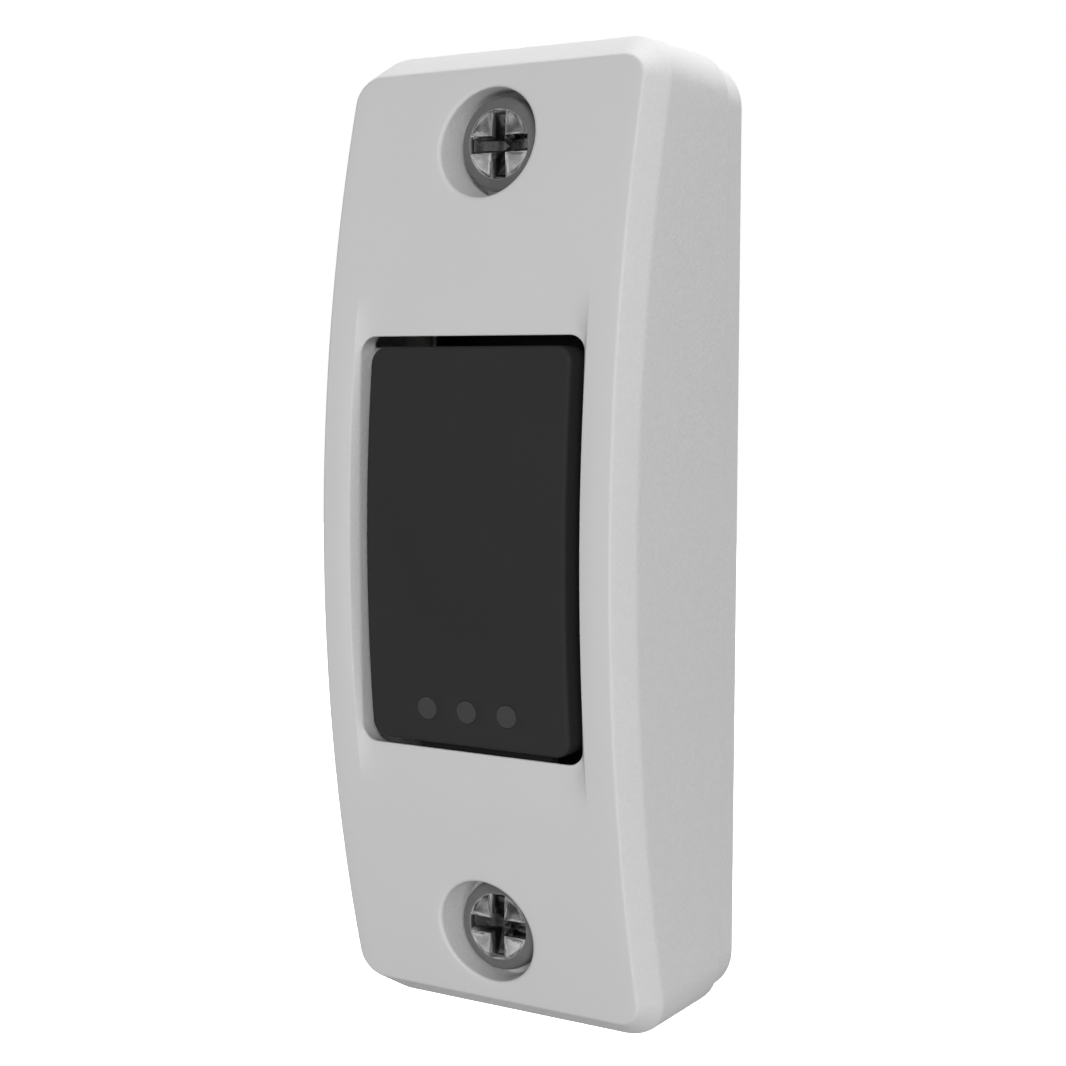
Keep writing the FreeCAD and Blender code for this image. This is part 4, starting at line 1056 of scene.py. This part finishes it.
def add_head(screw, z):
    """The top with its cross; returns the ring where the side of the head goes on."""
    opening = screw.ring(at(cross(ARM + RECESS_EDGE, ARM_HALF + RECESS_EDGE, z), crown(z)))
    lip = screw.ring(at(cross(ARM, ARM_HALF, z), head_top - HEAD_CROWN - RECESS_EDGE))
    floor = screw.ring(recess(z))
    screw.bands([opening, lip, floor])
    bottom = screw.ring([Vector((0, head_top - RECESS_DEEP, z))])[0]
    corners = floor[2::3]
    for quarter, corner in enumerate(corners):
        left, right = floor[(3 * quarter + 3) % 12], floor[(3 * quarter + 4) % 12]
        following = corners[(quarter + 1) % 4]
        screw.faces += [(corner, left, right, following), (corner, following, bottom)]
    rim = screw.ring(at(circle(HEAD_TOP_ENDS, z), crown(z)))
    rounds = []
    for radius in CROWN_RADII:
        rounds += [p for p in at(circle(radius, z), crown(z))
                   if min(abs(p.x), abs(p.z - z)) > ARM_HALF + 2 * RECESS_EDGE]
    screw.area([rim, opening], rounds)
    return rim


print("corners of the cross:", len(cross(ARM, ARM_HALF, 0)))

# %% [markdown]
# ## The wall screws: the thread
# The thread is a ridge that goes one pitch deeper in each clockwise turn. Flat rings would cross
# it at a slant and show a row of dents, so here the rows of faces climb with the thread, and the
# crest and the root each lie along an edge. A row that would pass the start or the tip takes the
# points of the flat ring there instead. Wood screws have a narrow crest and a wide root.

# %% Shank, thread and tip
NECK, THREAD, THREAD_ROOT, PITCH = 1.38, 1.75, 1.3, 1.41
THREAD_START, TIP, RIDGE_SHARE = -0.15, 4.2, 0.3
THREAD_ROWS, SMALLEST_GAP, TIP_RADIUS = 12, 0.01, 0.045
CREST_BLUNTNESS, TAPER_CURVE, SCREW_SHARP = 1.25, 0.8, 32
thread_length = screw_end + THREAD_START


def thread_radius(past, share):
    """Radius at a distance past the thread's start, for a row's share of the pitch."""
    height = max(0.0, 1 - abs(share - 0.5) / RIDGE_SHARE)
    grown = min(1.0, past / PITCH)
    ridge = (THREAD - THREAD_ROOT) * min(1.0, CREST_BLUNTNESS * height) * grown
    root = THREAD_ROOT + (NECK - THREAD_ROOT) * (1 - grown)
    taper = min(1.0, (thread_length - past) / TIP)
    return (root + ridge) * max(taper ** TAPER_CURVE, TIP_RADIUS)


def add_thread(screw, z, start):
    """Rows that climb with the thread, from the flat ring at its start to the one at the tip."""
    tip = screw.ring(at(circle(THREAD_ROOT * TIP_RADIUS, z), THREAD_START - thread_length))
    row_count = math.ceil(thread_length / PITCH * THREAD_ROWS)
    rows = []
    for number in range(row_count + THREAD_ROWS + 1):
        share = number / THREAD_ROWS % 1.0
        row = []
        for column in range(CIRCLE_STEPS):
            past = PITCH * (number / THREAD_ROWS - column / CIRCLE_STEPS)
            if past < SMALLEST_GAP:
                row.append(start[column])
            elif past > thread_length - SMALLEST_GAP:
                row.append(tip[column])
            else:
                turn = math.tau * column / CIRCLE_STEPS
                radius = thread_radius(past, share)
                row += screw.ring([Vector((radius * math.cos(turn), THREAD_START - past,
                                           z + radius * math.sin(turn)))])
        rows.append(row)
    for number, row in enumerate(rows):
        row.append(rows[max(0, number - THREAD_ROWS)][0])
    for low, high in zip(rows, rows[1:]):
        for i in range(CIRCLE_STEPS):
            corners = tuple(dict.fromkeys((low[i], low[i + 1], high[i + 1], high[i])))
            if len(corners) > 2:
                screw.faces.append(corners)
    screw.faces.append(tuple(tip))


def add_screw(screw, z):
    """One whole screw, from its head to its tip."""
    profile = [(radius, head_top - drop) for radius, drop in HEAD_PROFILE if radius > HEAD_TOP_ENDS]
    profile += [(head_radius, head_top - HEAD_SIDE), (head_radius, seat)]
    profile += [(NECK, seat), (NECK, THREAD_START)]
    rings = [add_head(screw, z)]
    rings += [screw.ring(at(circle(radius, z), depth)) for radius, depth in profile]
    screw.bands(rings)
    add_thread(screw, z, rings[-1])


screws = Skin()
for side in (1, -1):
    add_screw(screws, side * screw_height)
screws.piece("pan_head_screws", "housing", "screw_chrome", screw_chrome, "wall_screws",
             sharp=SCREW_SHARP)

# %% [markdown]
# ## The snap dome
# Under the plunger lies a thin sprung dome that buckles when it is pressed. The plunger would
# pierce a stiff copy, so this inner part is built again: two curved faces a sheet's thickness
# apart, turned about the switch's axis. The share of its height that it would keep at the
# plunger's full travel is worked out and printed; the dome itself isn't squashed.

# %% Dome of thin sheet
DOME_SHEET, DOME_RINGS = 0.12, 8

travel = next(joint["range_m"][1] for joint in frame["record"]["behaviour"]["joints"]
              if joint["name"] == "plunger_travel") / MM
dome_low, dome_high = reach("switch_dome")
dome_top, dome_back, dome_radius = -dome_low.y, -dome_high.y, dome_high.x
dome_rise = dome_top - dome_back - DOME_SHEET
dome = Skin()
shells = []
for drop in (0, DOME_SHEET):
    crest = dome.ring([Vector((0, dome_top - drop, SWITCH_AT))])[0]
    shares = [step / DOME_RINGS for step in range(1, DOME_RINGS + 1)]
    rings = dome.stack([at(circle(dome_radius * share, SWITCH_AT),
                           dome_top - drop - dome_rise * share * share) for share in shares])
    first = rings[0]
    dome.faces += [(crest, first[i], first[(i + 1) % len(first)]) for i in range(len(first))]
    shells.append(rings[-1])
dome.bands(shells)
snap_dome = dome.piece("snap_dome", "housing", "switch_steel", switch_steel, "switch_dome")
sunk_share = 1 - travel / (dome_top - dome_back)
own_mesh(snap_dome)
print("the dome keeps %.2f of its height" % sunk_share)

# %% [markdown]
# ## The pale floor
# The picture is a catalogue shot: the object stands out against pure white. A large sheet below
# it gives that white from every side, with a faint unevenness. It is only seen, not felt: it
# gives no bounced light and no reflection, so that the underside of the button stays darker.

# %% Pale floor
FLOOR_DROP, FLOOR_SIZE, FLOOR_TONE_SIZE = 0.15, 3.0, 60.0

floor_mesh = bpy.data.meshes.new("pale_floor")
edge = FLOOR_SIZE / 2
floor_mesh.from_pydata([(-edge, -edge, 0), (edge, -edge, 0), (edge, edge, 0), (-edge, edge, 0)],
                       [], [(0, 1, 2, 3)])
pale_floor = add_object("pale_floor", floor_mesh)
pale_floor.location.z = -FLOOR_DROP
pale_floor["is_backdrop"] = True


def pale_paint():
    finish = Finish("pale_floor")
    return finish.surface({
        "Base Color": finish.blend(finish.noise(FLOOR_TONE_SIZE), grey(0.9), grey(0.93)),
        "Roughness": 0.9,
        "Emission Color": grey(1.0),
        "Emission Strength": 1.0,
    })


floor_mesh.materials.append(pale_paint())
pale_floor.visible_diffuse = False
pale_floor.visible_glossy = False
pale_floor.visible_shadow = False
print("floor:", pale_floor.name, "%.1f m wide" % FLOOR_SIZE)

# %% [markdown]
# ## The sky
# The sky does three jobs, and Light Path tells them apart. To the camera it is white. To a dull
# surface it is a weak even fill. To a shiny one it is a dark room with two bright bands and some
# broken patches in front, and a glow towards the wall side: polished screws look like metal only
# if what they mirror has strong contrasts.

# %% Sky
SKY_FILL, SKY_DARK, SKY_PANEL, PATCH = 0.2, 0.02, 0.5, 0.05
PANELS = ((-0.42, -0.38, -0.31, -0.28), (-0.03, 0.01, 0.09, 0.13))
BAND_SHARE, PATCH_SHARE, GLOW = 0.45, 0.9, 0.3
PATCH_LIMITS, ROOM_LIMITS, WALL_LIMITS = (0.44, 0.58), (0.3, 0.7), (0.2, 0.6)


def paint_sky():
    """White to the eye, an even fill to surfaces, and panels to anything shiny."""
    scene.world = bpy.data.worlds.new("studio")
    sky = Finish("studio", scene.world)
    ray = sky.add("ShaderNodeLightPath")
    axes = sky.axes(sky.where)
    panels = 0.0
    for dim, bright, still_bright, dim_again in PANELS:
        rise = sky.ease(axes["Z"], dim, bright)
        panels = rise - sky.ease(axes["Z"], still_bright, dim_again) + panels
    room_side = sky.ease(0 - axes["Y"], *ROOM_LIMITS)
    wall_side = sky.ease(axes["Y"], *WALL_LIMITS)
    broken = sky.ease(sky.noise(PATCH, detail=3.0), *PATCH_LIMITS)
    shine = SKY_DARK + (panels * BAND_SHARE + broken * PATCH_SHARE) * room_side * SKY_PANEL
    shine = shine + wall_side * (GLOW + broken) * SKY_PANEL
    level = sky.blend(ray["Is Glossy Ray"], SKY_FILL, shine, "FLOAT")
    seen = sky.blend(ray["Is Camera Ray"], level, 1.0, "FLOAT")
    backdrop = sky.add("ShaderNodeBackground", None, {"Color": grey(1.0), "Strength": seen})
    sky.add("ShaderNodeOutputWorld", None, {"Surface": backdrop})


paint_sky()
print("sky:", scene.world.name, "bands:", len(PANELS))

# %% [markdown]
# ## The lamps
# The picture is evenly lit, with the top bevel brightest and the bottom bevel darkest. A front
# lamp to the right lights the face and the side alike, and a weaker one below it opens the lower
# edges. Two more reach round the sides, one behind and above strikes only what faces up, and two
# tiny ones lift the right hand corners. Reflections don't show the lamps, only the sky.

# %% Lamps
# Direction round the button from the front towards the right and upwards in degrees, distance and
# size in metres, and power in watts.
LAMPS = {
    "front_lamp": (33, 14, 2.0, 0.6, 20.4),
    "low_front_lamp": (18, -40, 2.0, 1.0, 6.4),
    "side_lamp": (100, 38, 2.0, 1.0, 4.4),
    "left_lamp": (-100, 10, 2.0, 1.0, 11.0),
    "top_lamp": (180, 60, 1.0, 0.35, 10.8),
    "corner_lamp": (95, 55, 0.12, 0.05, 0.006),
    "low_corner_lamp": (90, -50, 0.12, 0.05, 0.008),
}


def lamp(name, azimuth, height, distance, size, power):
    """A square soft lamp aimed at the button."""
    light = bpy.data.lights.new(name, "AREA")
    light.shape = "SQUARE"
    light.size = size
    light.energy = power
    made = add_object(name, light)
    turn, lift = math.radians(azimuth), math.radians(height)
    out = Vector((math.sin(turn) * math.cos(lift), -math.cos(turn) * math.cos(lift),
                  math.sin(lift)))
    made.location = out * distance
    made.rotation_mode = "QUATERNION"
    made.rotation_quaternion = out.to_track_quat("Z", "Y")
    made.visible_camera = False
    made.visible_glossy = False


for name, numbers in LAMPS.items():
    lamp(name, *numbers)
scene.view_settings.view_transform = "Standard"

# %% [markdown]
# ## The room left inside the measured box
# The dressed button is meant to stay within the measured one, so the room left between the two
# boxes is printed along each axis.

# %% Print the room between the two boxes
look_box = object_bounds()
for name, low, high in zip("xyz", look_box[0] - frame_box[0], frame_box[1] - look_box[1]):
    print("room along %s: %.4f mm below, %.4f mm above" % (name, low / MM, high / MM))
